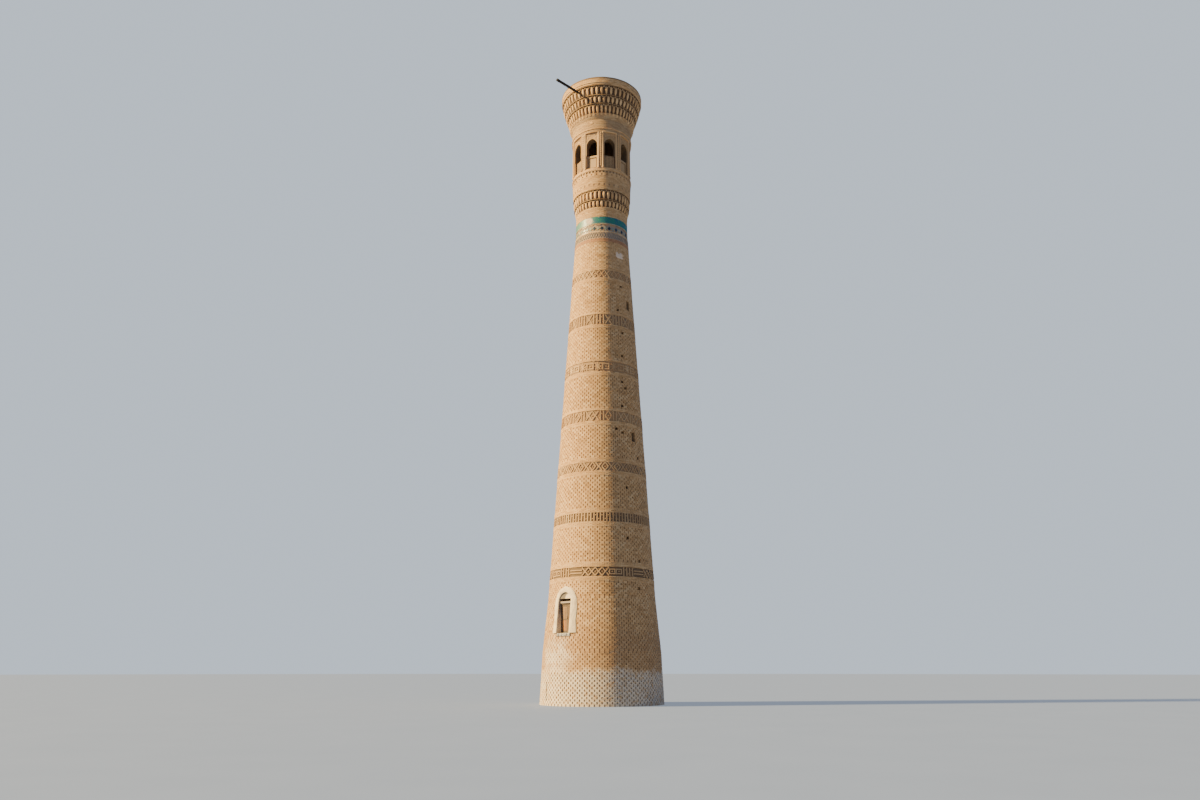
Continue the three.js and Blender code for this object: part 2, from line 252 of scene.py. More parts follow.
def paintJoint(graph, place, bright=1.0, grey=0.0):
    z = graph.split(place)[2]
    grit = graph.noise(place, 60, 3, 0.7)
    patch = graph.noise(place, 2.4, 4)
    share = graph.step(patch + (grit - 0.5) * 0.4, 0.25, 0.75)
    salt = 1 - graph.step(z + patch * 0.4, 1.6, 2.1)
    color = graph.mix(share, jointLook['dark'], jointLook['pale'])
    color = graph.mix(salt * 0.8, color, jointLook['salted'])
    color = graph.mix(grey, color, brickLook['grey'])
    color = graph.mix(1.0, color, (bright, bright, bright), 'MULTIPLY')
    return {'Base Color': color, 'Roughness': 0.95, 'Height': grit, 'Relief': 0.006}


glazeLook = {
    'body': (0.70, 0.56, 0.42), 'bleached': (0.50, 0.60, 0.42),
    'lost': (-29, 28.85, 10, 0.3),  # azimuth, level and reach of the loss
}
glazeTones = {  # two colours, how much is chipped off and how pale
    'turquoise': ((0.028, 0.195, 0.142), (0.03, 0.155, 0.165)),
    'darkGlaze': ((0.008, 0.02, 0.03), (0.012, 0.045, 0.07)),
    'paleGlaze': ((0.22, 0.25, 0.19), (0.36, 0.33, 0.22), 0.14, 0.05),
    'whiteGlaze': ((0.38, 0.32, 0.20), (0.52, 0.44, 0.28), 0.14),
    'ochreGlaze': ((0.46, 0.21, 0.05), (0.54, 0.29, 0.10), 0.12),
}


def paintGlaze(graph, place, first, second, loss=0.1, pale=0.0):
    cloud = graph.noise(place, 3.0, 4)
    crackle = graph.noise(place, 26, 4, 0.7)
    turn = azimuthOf(graph, place) + (cloud - 0.5) * 24
    bleached = (1 - graph.step(turn, -46, -24)) * graph.step(turn, -130, -90)
    chips = graph.step(graph.noise(place, 9, 5, 0.65), 0.74 - loss, 0.80 - loss)
    bare = graph.maths('MAXIMUM', spot(graph, place, *glazeLook['lost']), chips)
    color = graph.mix(graph.step(graph.tone() + (cloud - 0.5) * 0.6, 0.2, 0.8), first, second)
    color = graph.mix(graph.maths('MAXIMUM', bleached * 0.2, pale), color, glazeLook['bleached'])
    color = graph.mix(bare, color, glazeLook['body'])
    return {
        'Base Color': color, 'Roughness': 0.42 + bare * 0.42 + crackle * 0.14,
        'Coat Weight': 0.2 * (1 - bare), 'Coat Roughness': 0.3,
        'Height': crackle * 0.3 - bare * 0.8, 'Relief': 0.003,
    }


plasterLook = {
    'clean': (0.85, 0.69, 0.46), 'grey': (0.66, 0.52, 0.36), 'streak': (0.42, 0.31, 0.21),
    # the darkest colour here paints the shade in the door's reveal and the shadow on the lunette
    'sootAndShade': (0.10, 0.08, 0.06), 'warm': (0.92, 0.66, 0.46),
    'wallFace': (3.302, 2.76, 0.0954),  # radius of the wall at a level, and its slope
    'lunette': (0.18, 5.38, 0.28, 0.40),  # middle of the unshaded part of the arch, and its reach; the painted shadow lies outside it
}


def paintPlaster(graph, place, recessShade=0.0, warm=0.0):
    x, y, z = graph.split(place)
    cloud = graph.noise(place, 2.6, 5, 0.6)
    pores = graph.noise(place, 55, 4, 0.7)
    run = graph.noise(graph.gather(x * 6, y * 6, z * 0.7), 1.6, 4)
    wander = graph.add('ShaderNodeMix', {'data_type': 'VECTOR'}, {
        0: 0.25, 4: place, 5: graph.threeNoises(place, 3.5, 2.0)}, 1)
    crack = graph.add('ShaderNodeTexVoronoi', {'feature': 'DISTANCE_TO_EDGE'}, {
        'Vector': wander, 'Scale': 2.6})
    cracked = 1 - graph.step(crack + (pores - 0.5) * 0.02, 0.002, 0.012)
    line = cracked * graph.step(cloud, 0.5, 0.6)
    color = graph.mix(graph.step(cloud, 0.33, 0.66), plasterLook['clean'], plasterLook['grey'])
    color = graph.mix(graph.step(run, 0.58, 0.75) * 0.5, color, plasterLook['streak'])
    color = graph.mix(line * 0.35, color, plasterLook['streak'])
    # painted shade in the door's reveal: plaster behind the face of the wall is darkened, more so up in the
    # arch
    if recessShade:
        radius, level, slope = plasterLook['wallFace']
        deep = radius - (z - level) * slope - radiusOf(graph, place)  # behind the face of the wall
        share = graph.step(deep + (cloud - 0.5) * 0.02, -0.010, 0.014)
        share = share * (0.35 + 0.65 * graph.step(z, 4.3, 5.1))
        color = graph.mix(share * recessShade, color, plasterLook['sootAndShade'])
    return {
        'Base Color': graph.mix(warm, color, plasterLook['warm']),
        'Roughness': 0.86 + pores * 0.1,
        'Height': pores * 0.35 + cloud * 0.5 - line * 0.5, 'Relief': 0.008,
    }


def paintLunette(graph, place):  # painted shadow: plain in the middle, darkened towards the left of the arch where the reveal shades it
    look = paintPlaster(graph, place)
    turn = math.radians(doorway['azimuth'])
    x, y, z = graph.split(place)
    middle, level, wide, tall = plasterLook['lunette']
    across = (x * math.cos(turn) + y * math.sin(turn) - middle) / wide
    edge = graph.length(across, (z - level) / tall) + (graph.noise(place, 7, 4) - 0.5) * 0.3
    share = graph.step(edge, 0.85, 1.1) * 0.85
    look['Base Color'] = graph.mix(share, look['Base Color'], plasterLook['sootAndShade'])
    return look


def paintStone(graph, place):
    cloud = graph.noise(place, 4, 5, 0.6)
    grit = graph.noise(place, 80, 3, 0.75)
    color = graph.ramp(cloud * 0.7 + grit * 0.3, [
        (0.25, (0.30, 0.28, 0.25)), (0.5, (0.52, 0.48, 0.42)), (0.8, (0.70, 0.65, 0.56))])
    return {'Base Color': color, 'Roughness': 0.84, 'Height': cloud * 0.6 + grit * 0.4, 'Relief': 0.008}


timberLook = {'worn': (0.42, 0.38, 0.33), 'crack': (0.05, 0.035, 0.025)}
timberTones = {  # two colours, whether the grain is upright, how grey and how worn
    'frameTimber': ((0.22, 0.135, 0.07), (0.10, 0.06, 0.032)),
    'panelTimber': ((0.30, 0.165, 0.07), (0.15, 0.08, 0.034)),
    'boardTimber': ((0.38, 0.16, 0.05), (0.20, 0.08, 0.025)),
    'lintelTimber': ((0.55, 0.43, 0.33), (0.34, 0.25, 0.18), False, 0.15),
    'floorTimber': ((0.30, 0.22, 0.15), (0.14, 0.10, 0.065), False, 0.2),
}


def paintTimber(graph, place, light, dark, upright=True, grey=0.0, wear=0.25):
    x, y, z = graph.split(place)
    level, up = (9, 0.8) if upright else (1.2, 9)
    along = graph.gather(x * level, y * level, z * up)
    warp = graph.noise(along, 2.2, 4, 0.6)
    rings = graph.noise(along, 9, 3, 0.6)
    fibre = graph.noise(along, 40, 2, 0.5)
    worn = graph.step(graph.noise(place, 6, 5, 0.65), 0.5, 0.75)
    crack = 1 - graph.step(fibre, 0.26, 0.33)
    grain = rings * 0.55 + fibre * 0.2 + warp * 0.25 + (graph.tone() - 0.5) * 0.3
    color = graph.mix(graph.step(grain, 0.32, 0.68), dark, light)
    color = graph.mix(worn * wear + grey, color, timberLook['worn'])
    return {
        'Base Color': graph.mix(crack * 0.6, color, timberLook['crack']),
        'Roughness': 0.66 + worn * 0.18 + fibre * 0.08,
        'Height': rings * 0.4 + fibre * 0.4 - crack * 0.6, 'Relief': 0.004,
    }


beamLook = {
    'light': (0.07, 0.056, 0.048), 'dark': (0.026, 0.021, 0.018), 'wear': 0.06,
    'black': (0.012, 0.01, 0.009), 'blackFrom': (4.44, 4.455),  # distance from the tower's axis
}


def paintBeam(graph, place):  # weathered grey timber, black at its outer end
    look = paintTimber(graph, place, beamLook['light'], beamLook['dark'], False, 0.0, beamLook['wear'])
    share = graph.step(radiusOf(graph, place), *beamLook['blackFrom']) * 0.85
    look['Base Color'] = graph.mix(share, look['Base Color'], beamLook['black'])
    look['Specular IOR Level'] = 0.1
    return look


def paintIron(graph, place):
    rust = graph.step(graph.noise(place, 40, 5, 0.7), 0.42, 0.62)
    color = graph.mix(rust, (0.045, 0.042, 0.04), (0.16, 0.07, 0.035))
    metal = 0.7 * (1 - rust)
    return {'Base Color': color, 'Metallic': metal, 'Roughness': 0.5 + rust * 0.35, 'Height': rust}


def drawnBricks(graph, run, course, sides, joint):  # tone and face of the bricks where the wall is smooth
    along, up = graph.maths('FRACT', run), graph.maths('FRACT', course)
    beside = graph.maths('MINIMUM', along, 1 - along) * sides
    gap = graph.maths('MINIMUM', beside, graph.maths('MINIMUM', up, 1 - up))
    cell = graph.gather(graph.maths('FLOOR', run), graph.maths('FLOOR', course), 0)
    return graph.add('ShaderNodeTexWhiteNoise', None, {'Vector': cell}), graph.step(gap, *joint)


roofLook = {
    'course': 0.072, 'length': 0.26, 'sides': 3.2, 'joint': (0.04, 0.15), 'dust': (0.46, 0.40, 0.32),
}
liningLook = {'course': 0.066, 'degrees': 9, 'sides': 3.6, 'joint': (0.06, 0.16), 'openAbove': 36.4}


def paintRoof(graph, place):  # brick laid in rings, seen from above
    course = radiusOf(graph, place) / roofLook['course']
    ring = graph.maths('FLOOR', course)
    count = graph.maths('ROUND', (ring + 0.5) * (roofLook['course'] * 2 * math.pi / roofLook['length']))
    turn = azimuthOf(graph, place) / 360 + 0.5
    run = turn * graph.maths('MAXIMUM', count, 1) + graph.maths('FLOORED_MODULO', ring, 2) * 0.5
    tone, face = drawnBricks(graph, run, course, roofLook['sides'], roofLook['joint'])
    dust = graph.noise(place, 3, 5, 0.6)
    grain = graph.noise(place, 34, 4, 0.65)
    color = graph.mix(face, jointLook['pale'], graph.ramp(tone * 0.7 + dust * 0.3, brickLook['fired']))
    color = graph.mix(graph.step(dust, 0.45, 0.7) * 0.45, color, roofLook['dust'])
    return {'Base Color': color, 'Roughness': 0.92, 'Height': face * 0.8 + grain * 0.2, 'Relief': 0.01}


def paintLining(graph, place):  # brick courses on the inside of the wall, with painted shade making them darker further in
    z = graph.split(place)[2]
    course = z / liningLook['course']
    stagger = graph.maths('FLOORED_MODULO', graph.maths('FLOOR', course), 2) * 0.5
    run = azimuthOf(graph, place) / liningLook['degrees'] + stagger
    tone, face = drawnBricks(graph, run, course, liningLook['sides'], liningLook['joint'])
    grain = graph.noise(place, 34, 4, 0.65)
    # painted shade: full brightness only near the outer face and above the rim, darker further inside
    outer = graph.step(radiusOf(graph, place), 1.80, 1.85)
    daylight = graph.maths('MAXIMUM', outer, z > liningLook['openAbove'])
    color = graph.mix(face, jointLook['pale'], graph.ramp(tone, brickLook['fired']))
    color = graph.shaded(color, (0.7 + grain * 0.3) * (0.36 + 0.64 * daylight))
    return {'Base Color': color, 'Roughness': 0.93, 'Height': face * 0.8 + grain * 0.2, 'Relief': 0.008}


def paintGround(graph, place):
    color = graph.ramp(graph.noise(place, 0.4, 4), [
        (0.3, (0.110, 0.139, 0.228)), (0.7, (0.122, 0.152, 0.246))])
    return {'Base Color': color, 'Roughness': 0.9, 'Emission Color': (0.238, 0.268, 0.291),
            'Emission Strength': 1.0}


paints = {
    # the door plaster's 0.92 sets how strong its painted reveal shade is
    'lining': (paintLining,), 'roofBrick': (paintRoof,), 'doorPlaster': (paintPlaster, 0.92),
    'patchPlaster': (paintPlaster, 0.0, 0.7), 'lunette': (paintLunette,), 'stone': (paintStone,),
    'beamTimber': (paintBeam,), 'iron': (paintIron,), 'ground': (paintGround,),
}
for paint, tones in (
    (paintBrick, brickTones), (paintJoint, jointTones), (paintGlaze, glazeTones),
    (paintTimber, timberTones),
):
    paints.update({name: (paint, *values) for name, values in tones.items()})
finishes = {name: finish(name, *paint) for name, paint in paints.items()}
print('finishes made:', len(finishes))


def between(line, level):  # radius on a line of (level, radius) points
    for (low, first), (high, second) in zip(line, line[1:]):
        if level <= high:
            return first + (second - first) * (level - low) / (high - low)
    return line[-1][1]


def wallRadius(level):
    return between(tower['outline'], level)


def wallRadii(low, high, proud=0.0):
    return [wallRadius(z) + proud for z in (low, high)]


def pitchOf(low, high, count, proud=0.0):  # room for each of a number of units round the wall
    return math.pi * sum(wallRadii(low, high, proud)) / count


def wallFace(across, level):  # how far out the wall's face is, beside a bearing
    return math.sqrt(wallRadius(level) ** 2 - across * across)


def levels(node):
    low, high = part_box(node)
    return low.z, high.z


def atWall(azimuth, across, out, level):  # to the right, outwards and up at a bearing
    turn = math.radians(azimuth)
    x = across * math.cos(turn) + out * math.sin(turn)
    y = across * math.sin(turn) - out * math.cos(turn)
    return Vector((x, y, level))


def atDoor(across, out, level):
    return atWall(doorway['azimuth'], across, out, level)


def meshPiece(name, points, faces, finishNames=(), linked=True):
    mesh = bpy.data.meshes.new(name)
    mesh.from_pydata([tuple(point) for point in points], [], faces)
    for finishName in finishNames:
        mesh.materials.append(finishes[finishName])
    piece = bpy.data.objects.new(name, mesh)
    if linked:
        scene.collection.objects.link(piece)
    return piece


def woven(count, size, loop=True, joined=False):  # faces between rows of points, each row closed if loop
    faces = []
    for row in range(count if joined else count - 1):
        here, after = row * size, (row + 1) % count * size
        for i in range(size if loop else size - 1):
            j = (i + 1) % size
            faces.append((here + i, after + i, after + j, here + j))
    return faces


def capped(count, size):  # the same with the first and the last row closed
    last = count * size - 1
    return woven(count, size) + [tuple(range(size)), tuple(range(last, last - size, -1))]


def faceOut(piece):
    shape = bmesh.new()
    shape.from_mesh(piece.data)
    bmesh.ops.recalc_face_normals(shape, faces=shape.faces)
    shape.to_mesh(piece.data)
    shape.free()
    return piece


boxFaces = [(0, 3, 2, 1), (4, 5, 6, 7), (0, 1, 5, 4), (1, 2, 6, 5), (2, 3, 7, 6), (3, 0, 4, 7)]


def upright(across, out, level):  # corners of a box that faces the front, from its three ranges
    flat = list(zip(across + across[::-1], (out[1], out[1], out[0], out[0])))
    return [(x, -n, z) for z in level for x, n in flat]


def localBox(azimuth, across, out, level):  # the same at a bearing
    return [atWall(azimuth, x, -y, z) for x, y, z in upright(across, out, level)]


def joinShapes(shapes):  # each is the corners of a box, or points and faces
    points, faces = [], []
    for shape in shapes:
        morePoints, moreFaces = shape if isinstance(shape, tuple) else (shape, boxFaces)
        faces += [tuple(len(points) + i for i in face) for face in moreFaces]
        points += morePoints
    return points, faces


def turned(name, profile, backFinish, innerRadius):  # closed loop of (radius, level), lined inside
    segments = tower['segments']
    points = []
    for column in range(segments):
        turn = 2 * math.pi * column / segments
        points += [(r * math.sin(turn), -r * math.cos(turn), z) for r, z in profile]
    faces = woven(segments, len(profile), joined=True)
    piece = meshPiece(name, points, faces, [backFinish, 'lining'])
    for face in piece.data.polygons:
        corners = [piece.data.vertices[i].co for i in face.vertices]
        if max(point.xy.length for point in corners) < innerRadius:
            face.material_index = 1
    return piece


def barBox(start, end, width, front=0.0, back=tower['rootDepth']):  # between two points of the flat layout
    (x0, z0), (x1, z1) = start, end
    length = math.hypot(x1 - x0, z1 - z0)
    sx, sz = -(z1 - z0) / length * width / 2, (x1 - x0) / length * width / 2
    flat = [(x0 - sx, z0 - sz), (x1 - sx, z1 - sz), (x1 + sx, z1 + sz), (x0 + sx, z0 + sz)]
    return [(x, y, z) for y in (back, front) for x, z in flat]


def slanted(start, end, width, out):  # bar in the plane of one bay
    return barBox(start, end, width, -out[1], -out[0])


def unit(name, bars):  # repeated shape from bars: start, end, width and, if given, front and back
    return meshPiece(name, *joinShapes([barBox(*bar) for bar in bars]), linked=False)


def flatBar(length, level, height, front=0.0):
    return (-length / 2, level), (length / 2, level), height, front


def plateUnit(name, outline, front, back=0.05):  # flat tile from its outline, going round anticlockwise
    points = [(x, y, z) for y in (front, back) for x, z in outline]
    return meshPiece(name, points, capped(2, len(outline)), linked=False)


def roundPost(azimuth, across, out, rings, corners=14):  # from rings of (radius, level)
    turns = [2 * math.pi * i / corners for i in range(corners)]
    return [
        atWall(azimuth, across + radius * math.cos(turn), out + radius * math.sin(turn), level)
        for radius, level in rings for turn in turns
    ], capped(len(rings), corners)


def startTree(name, sockets):  # a Geometry Nodes tree with named inputs
    tree = bpy.data.node_groups.new(name, 'GeometryNodeTree')
    for socket, kind in sockets.items():
        tree.interface.new_socket(name=socket, in_out='INPUT', socket_type='NodeSocket' + kind)
    tree.interface.new_socket(name='shape', in_out='OUTPUT', socket_type='NodeSocketGeometry')
    graph = Graph(tree)
    source = tree.nodes.new('NodeGroupInput')
    return graph, SimpleNamespace(**{socket: Wire(graph, source.outputs[socket]) for socket in sockets})


def placeCopies(graph, values, tone):
    laid = graph.add('GeometryNodeInstanceOnPoints', None, values)
    toned = graph.add('GeometryNodeStoreNamedAttribute', {'data_type': 'FLOAT', 'domain': 'INSTANCE'}, {
        'Geometry': laid, 'Name': 'tone', 'Value': tone})
    return graph.add('GeometryNodeRealizeInstances', None, {'Geometry': toned})


def addTree(piece, tree, values):
    modifier = piece.modifiers.new(tree.name, 'NODES')
    modifier.node_group = tree
    for socket in tree.interface.items_tree:
        if socket.in_out == 'INPUT' and values.get(socket.name) is not None:
            modifier[socket.identifier] = values[socket.name]


def makeCourseTree():
    graph, given = startTree('courses', {
        'wall': 'Geometry', 'unit': 'Object', 'finish': 'Material', 'cut': 'Bool', 'openings': 'Object',
        **dict.fromkeys(('columns', 'rows', 'seed'), 'Int'),
        **dict.fromkeys(('stagger', 'low', 'high', 'radiusLow', 'radiusHigh'), 'Float'),
        **dict.fromkeys(('start', 'sizeSpread', 'depthSpread', 'ruffle'), 'Float'),
    })

    def chance(low, high, offset):  # one random number for each unit
        values = {2: low, 3: high, 'Seed': given.seed + offset}
        return graph.add('FunctionNodeRandomValue', {'data_type': 'FLOAT'}, values, 1)

    def geometryOf(thing):
        return graph.add('GeometryNodeObjectInfo', None, {'Object': thing}, 'Geometry')

    index = graph.add('GeometryNodeInputIndex')
    row = graph.maths('FLOOR', (index + 0.5) / given.columns)
    column = index - row * given.columns
    meanRadius = (given.radiusLow + given.radiusHigh) * 0.5
    pitch = meanRadius * (2 * math.pi) / given.columns
    height = given.high - given.low
    across = (column + graph.maths('FLOORED_MODULO', row, 2) * given.stagger) * pitch
    level = given.low + (row + 0.5) * height / given.rows
    depth = chance(0 - given.depthSpread, given.depthSpread, 1)
    points = graph.add('GeometryNodePoints', None, {
        'Count': given.columns * given.rows, 'Position': graph.gather(across, depth, level)})
    small, large = 1 - given.sizeSpread, 1 + given.sizeSpread
    scale = graph.gather(chance(small, large, 2), 1.0, chance(small, large, 3))
    laid = {'Points': points, 'Instance': geometryOf(given.unit), 'Scale': scale}
    real = placeCopies(graph, laid, chance(0.0, 1.0, 4))

    here = graph.add('GeometryNodeInputPosition')
    shaken = zip(graph.split(here), graph.split(graph.threeNoises(here, 7.3, 1.0)))
    x, y, z = [axis + (shake - 0.5) * given.ruffle for axis, shake in shaken]
    turn = x / meanRadius + given.start
    slope = (given.radiusHigh - given.radiusLow) / height
    radius = given.radiusLow + (z - given.low) * slope - y
    onTower = graph.gather(radius * graph.maths('SINE', turn), 0 - radius * graph.maths('COSINE', turn), z)
    bent = graph.add('GeometryNodeSetPosition', None, {'Geometry': real, 'Position': onTower})
    cut = graph.add('GeometryNodeMeshBoolean', {'operation': 'DIFFERENCE', 'solver': 'MANIFOLD'}, {
        'Mesh 1': bent, 'Mesh 2': geometryOf(given.openings)})
    opened = graph.add('GeometryNodeSwitch', {'input_type': 'GEOMETRY'}, {
        'Switch': given.cut, 'False': bent, 'True': cut})
    coloured = graph.add('GeometryNodeSetMaterial', None, {'Geometry': opened, 'Material': given.finish})
    whole = graph.add('GeometryNodeJoinGeometry', None, {'Geometry': [given.wall, coloured]})
    graph.add('NodeGroupOutput', None, {'shape': whole})
    return graph.tree


courseTree = makeCourseTree()
seeds = itertools.count(10, 10)


def lay(wall, shape, finishName, columns, rows, low, high, radii=None, proud=0.0, tool=None, **extra):
    radii = radii or wallRadii(low, high, proud)
    addTree(wall, courseTree, {
        'unit': shape, 'finish': finishes[finishName], 'columns': columns, 'rows': rows,
        'low': float(low), 'high': float(high), 'radiusLow': float(radii[0]),
        'radiusHigh': float(radii[1]), 'seed': next(seeds), 'cut': tool is not None,
        'openings': tool, **extra})


def settle(piece):  # turn what the modifiers make into a plain mesh
    shown = piece.evaluated_get(bpy.context.evaluated_depsgraph_get())
    mesh = bpy.data.meshes.new_from_object(shown)
    piece.modifiers.clear()
    piece.data = mesh
    mesh.name = piece.name


def handOver(piece, slot, *nodes, body='tower'):
    if piece.modifiers:
        settle(piece)
    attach(piece, body)
    if nodes:
        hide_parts(*nodes)


def modify(piece, kind, **settings):
    modifier = piece.modifiers.new(kind.lower(), kind)
    for name, value in settings.items():
        setattr(modifier, name, value)


def cutBy(piece, tool):
    modify(piece, 'BOOLEAN', operation='DIFFERENCE', solver='MANIFOLD', object=tool)


view = {
    'place': (-0.11, -50.53, 1.80), 'tilt': 17.25, 'sensor': 36.0,
    'focal': 870, 'width': 1200,  # both in pixels
}
lens = bpy.data.cameras.new('view')
lens.sensor_width = view['sensor']
lens.lens = view['focal'] / view['width'] * view['sensor']
lens.clip_end = 2000
camera = bpy.data.objects.new('view', lens)
camera.location = view['place']
camera.rotation_euler = (math.radians(90 + view['tilt']), 0, 0)
scene.collection.objects.link(camera)
scene.camera = camera

light = {
    'bearing': -78.5, 'height': 31, 'strength': 14.6, 'softness': 4.0, 'color': (1.0, 0.77, 0.365),
    'sky': (0.28, 0.47, 1.0), 'skyStrength': 0.34, 'backdrop': (0.66, 0.75, 0.86),
}
sun = bpy.data.lights.new('key', 'SUN')
sun.energy = light['strength']
sun.angle = math.radians(light['softness'])
sun.color = light['color']
key = bpy.data.objects.new('key', sun)
turn, lift = math.radians(light['bearing']), math.radians(light['height'])
toSun = Vector((math.sin(turn) * math.cos(lift), -math.cos(turn) * math.cos(lift), math.sin(lift)))
key.rotation_euler = toSun.to_track_quat('Z', 'Y').to_euler()
scene.collection.objects.link(key)
world = bpy.data.worlds.new('studio')
world.use_nodes = True
skyGraph = Graph(world.node_tree)
fill = world.node_tree.nodes['Background']
skyGraph.feed(fill.inputs['Color'], light['sky'])
skyGraph.feed(fill.inputs['Strength'], light['skyStrength'])
behind = skyGraph.add('ShaderNodeBackground', None, {'Color': light['backdrop'], 'Strength': 1.0})
seen = skyGraph.add('ShaderNodeLightPath')
both = skyGraph.add('ShaderNodeMixShader', None, {0: seen, 1: Wire(skyGraph, fill.outputs[0]), 2: behind})
skyGraph.feed(world.node_tree.nodes['World Output'].inputs['Surface'], both)
scene.world = world

ground = {'radius': 420.0, 'corners': 96, 'drop': 0.002}
turns = [2 * math.pi * i / ground['corners'] for i in range(ground['corners'])]
edgePoints = [(ground['radius'] * math.cos(turn), ground['radius'] * math.sin(turn), -ground['drop'])
              for turn in turns]
floor = meshPiece('studio_floor', edgePoints, [tuple(range(ground['corners']))], ['ground'])
print('camera, light and floor set')


def archOutline(half, floorLevel, spring, rise, steps):  # from the left foot to the right foot
    offset = (rise * rise - half * half) / (2 * half)
    radius = half + offset
    sweep = math.acos(offset / radius)
    right = [(half, floorLevel)]
    for i in range(steps + 1):
        turn = sweep * i / steps
        right.append((radius * math.cos(turn) - offset, spring + radius * math.sin(turn)))
    left = [(-x, z) for x, z in right[:-1]]
    return left + right[::-1]


shaftHoles = {
    'slits': [(54, 22.86, 0.62, 0.27), (47, 14.43, 0.55, 0.26)],  # azimuth, sill, height, width
    'clefts': [(-61, 0.25, 0.95, 0.085)],  # shallow, the same four
    'putlogs': [  # azimuth and level of the small scaffold holes
        (37.4, 24.31), (28.9, 22.66), (36.1, 21.19), (33.9, 19.67), (31.8, 18.0), (37.5, 17.64),
        (30.1, 16.49), (29.2, 14.86), (54.2, 13.49), (31.7, 11.62), (30.2, 8.76), (45.3, 7.55),
        (42.4, 6.04), (20.0, 15.05),
    ],
    'putlogSize': 0.15, 'putlogDepth': 0.3,
    'reach': 5.0,  # past the face of the wall
}


def makeShaftOpenings():
    size, deep, reach = shaftHoles['putlogSize'], shaftHoles['putlogDepth'], shaftHoles['reach']
    holes = [(*slit, 0.0) for slit in shaftHoles['slits']]
    for azimuth, foot, height, width in shaftHoles['clefts']:
        holes.append((azimuth, foot, height, width, wallRadius(foot + height) - deep))
    for azimuth, level in shaftHoles['putlogs']:
        holes.append((azimuth, level - size / 2, size, size, wallRadius(level) - deep))
    shapes = [localBox(azimuth, (-width / 2, width / 2), (inner, reach), (foot, foot + height))
              for azimuth, foot, height, width, inner in holes]
    bay = archOutline(doorway['cutHalf'], doorway['floor'] - 0.01, doorway['spring'], doorway['cutRise'], 12)
    shapes.append(([atDoor(x, out, z) for out in (0.0, reach) for x, z in bay], capped(2, len(bay))))
    return faceOut(meshPiece('shaft_openings', *joinShapes(shapes)))


shaftOpenings = makeShaftOpenings()

bond = {
    'pitch': 0.262, 'row': 0.124, 'brick': 0.055, 'length': 0.213, 'gapDepth': 0.045,
    'single': 0.062, 'singleBrick': 0.053, 'singleLength': 0.246, 'singleGap': 0.012,
    'saltedTop': 1.7, 'saltedLength': 0.188, 'footGap': 0.003, 'beltGap': 0.022,
    'upperLengths': {5: 0.222, 6: 0.227, 7: 0.236},  # by drum: the joints close up towards the top
}
pairSpread = {'stagger': 0.5, 'sizeSpread': 0.035, 'depthSpread': 0.004, 'ruffle': 0.008}
singleSpread = {'stagger': 0.5, 'sizeSpread': 0.012, 'depthSpread': 0.003, 'ruffle': 0.004}


def pairOf(name, length):
    lower, upper = -bond['row'] / 4, bond['row'] / 4
    bars = [flatBar(length, lower, bond['brick']), flatBar(length, upper, bond['brick'], -0.002)]
    return unit(name, bars)


pairUnit = pairOf('pair_of_bricks', bond['length'])
saltedUnit = pairOf('salted_pair', bond['saltedLength'])
singleUnit = unit('single_brick', [flatBar(bond['singleLength'], 0.0, bond['singleBrick'])])


def backing(name, low, high, depth, backFinish, proud=0.0):  # the wall behind the bricks, with its inside
    outer = [z for z, r in tower['outline'] if low < z < high]
    inner = [z for z, r in tower['inside'] if low < z < high]
    profile = [(wallRadius(z) + proud - depth, z) for z in [low, *outer, high]]
    profile += [(between(tower['inside'], z), z) for z in [high, *inner[::-1], low]]
    return turned(name, profile, backFinish, between(tower['inside'], low) + 0.02)


def ringWall(name, node, *values):
    low, high = levels(node)
    return backing(name, low, high, *values), low, high


def evenStretches(low, high):  # between the changes of slope
    stops = [low, *[z for z, r in tower['outline'] if low + 0.05 < z < high - 0.05], high]
    return zip(stops, stops[1:])


def rowsIn(low, high, height):
    return max(1, round((high - low) / height))


def layPairs(wall, low, high, tool, shape):
    for bottom, top in evenStretches(low, high):
        columns, rows = round(pitchOf(bottom, top, bond['pitch'])), rowsIn(bottom, top, bond['row'])
        lay(wall, shape, 'wallBrick', columns, rows, bottom, top, tool=tool, **pairSpread)


def laySingles(wall, low, high, finishName, proud=0.0, tool=None, radii=None):
    radii = radii or wallRadii(low, high, proud)
    columns = round(math.pi * sum(radii) / (bond['singleLength'] + bond['singleGap']))
    rows = rowsIn(low, high, bond['single'])
    lay(wall, singleUnit, finishName, columns, rows, low, high, radii, tool=tool, **singleSpread)


def plainWall(name, nodes, low, high, cut, saltedTop=0, shape=pairUnit):
    wall = backing(name, low, high, bond['gapDepth'], 'joint')
    tool = shaftOpenings if cut else None
    if tool:
        cutBy(wall, tool)
    if saltedTop:
        layPairs(wall, low + bond['footGap'], saltedTop, tool, saltedUnit)
    layPairs(wall, saltedTop or low, high, tool, shape)
    handOver(wall, 'brick', *nodes)


baseTop = levels('base_masonry')[1]
plainWall('base_bricks', ['base_masonry'], 0.0, baseTop, True, bond['saltedTop'])
entryNodes = ['entry_wall_right', 'entry_wall_back', 'entry_wall_left', 'entry_wall_over_door']
plainWall('entry_bricks', entryNodes, baseTop, levels('entry_wall_back')[1], True)
cutLevels = [hole[1] for hole in shaftHoles['slits'] + shaftHoles['putlogs']]
for number in range(1, 8):
    node = 'drum_%d' % number
    low, high = levels(node)
    length = bond['upperLengths'].get(number, bond['length'])
    cut = any(low < z < high for z in cutLevels)
    plainWall(node + '_bricks', [node], low, high, cut, shape=pairOf(node + '_pair', length))
print('plain brickwork laid')

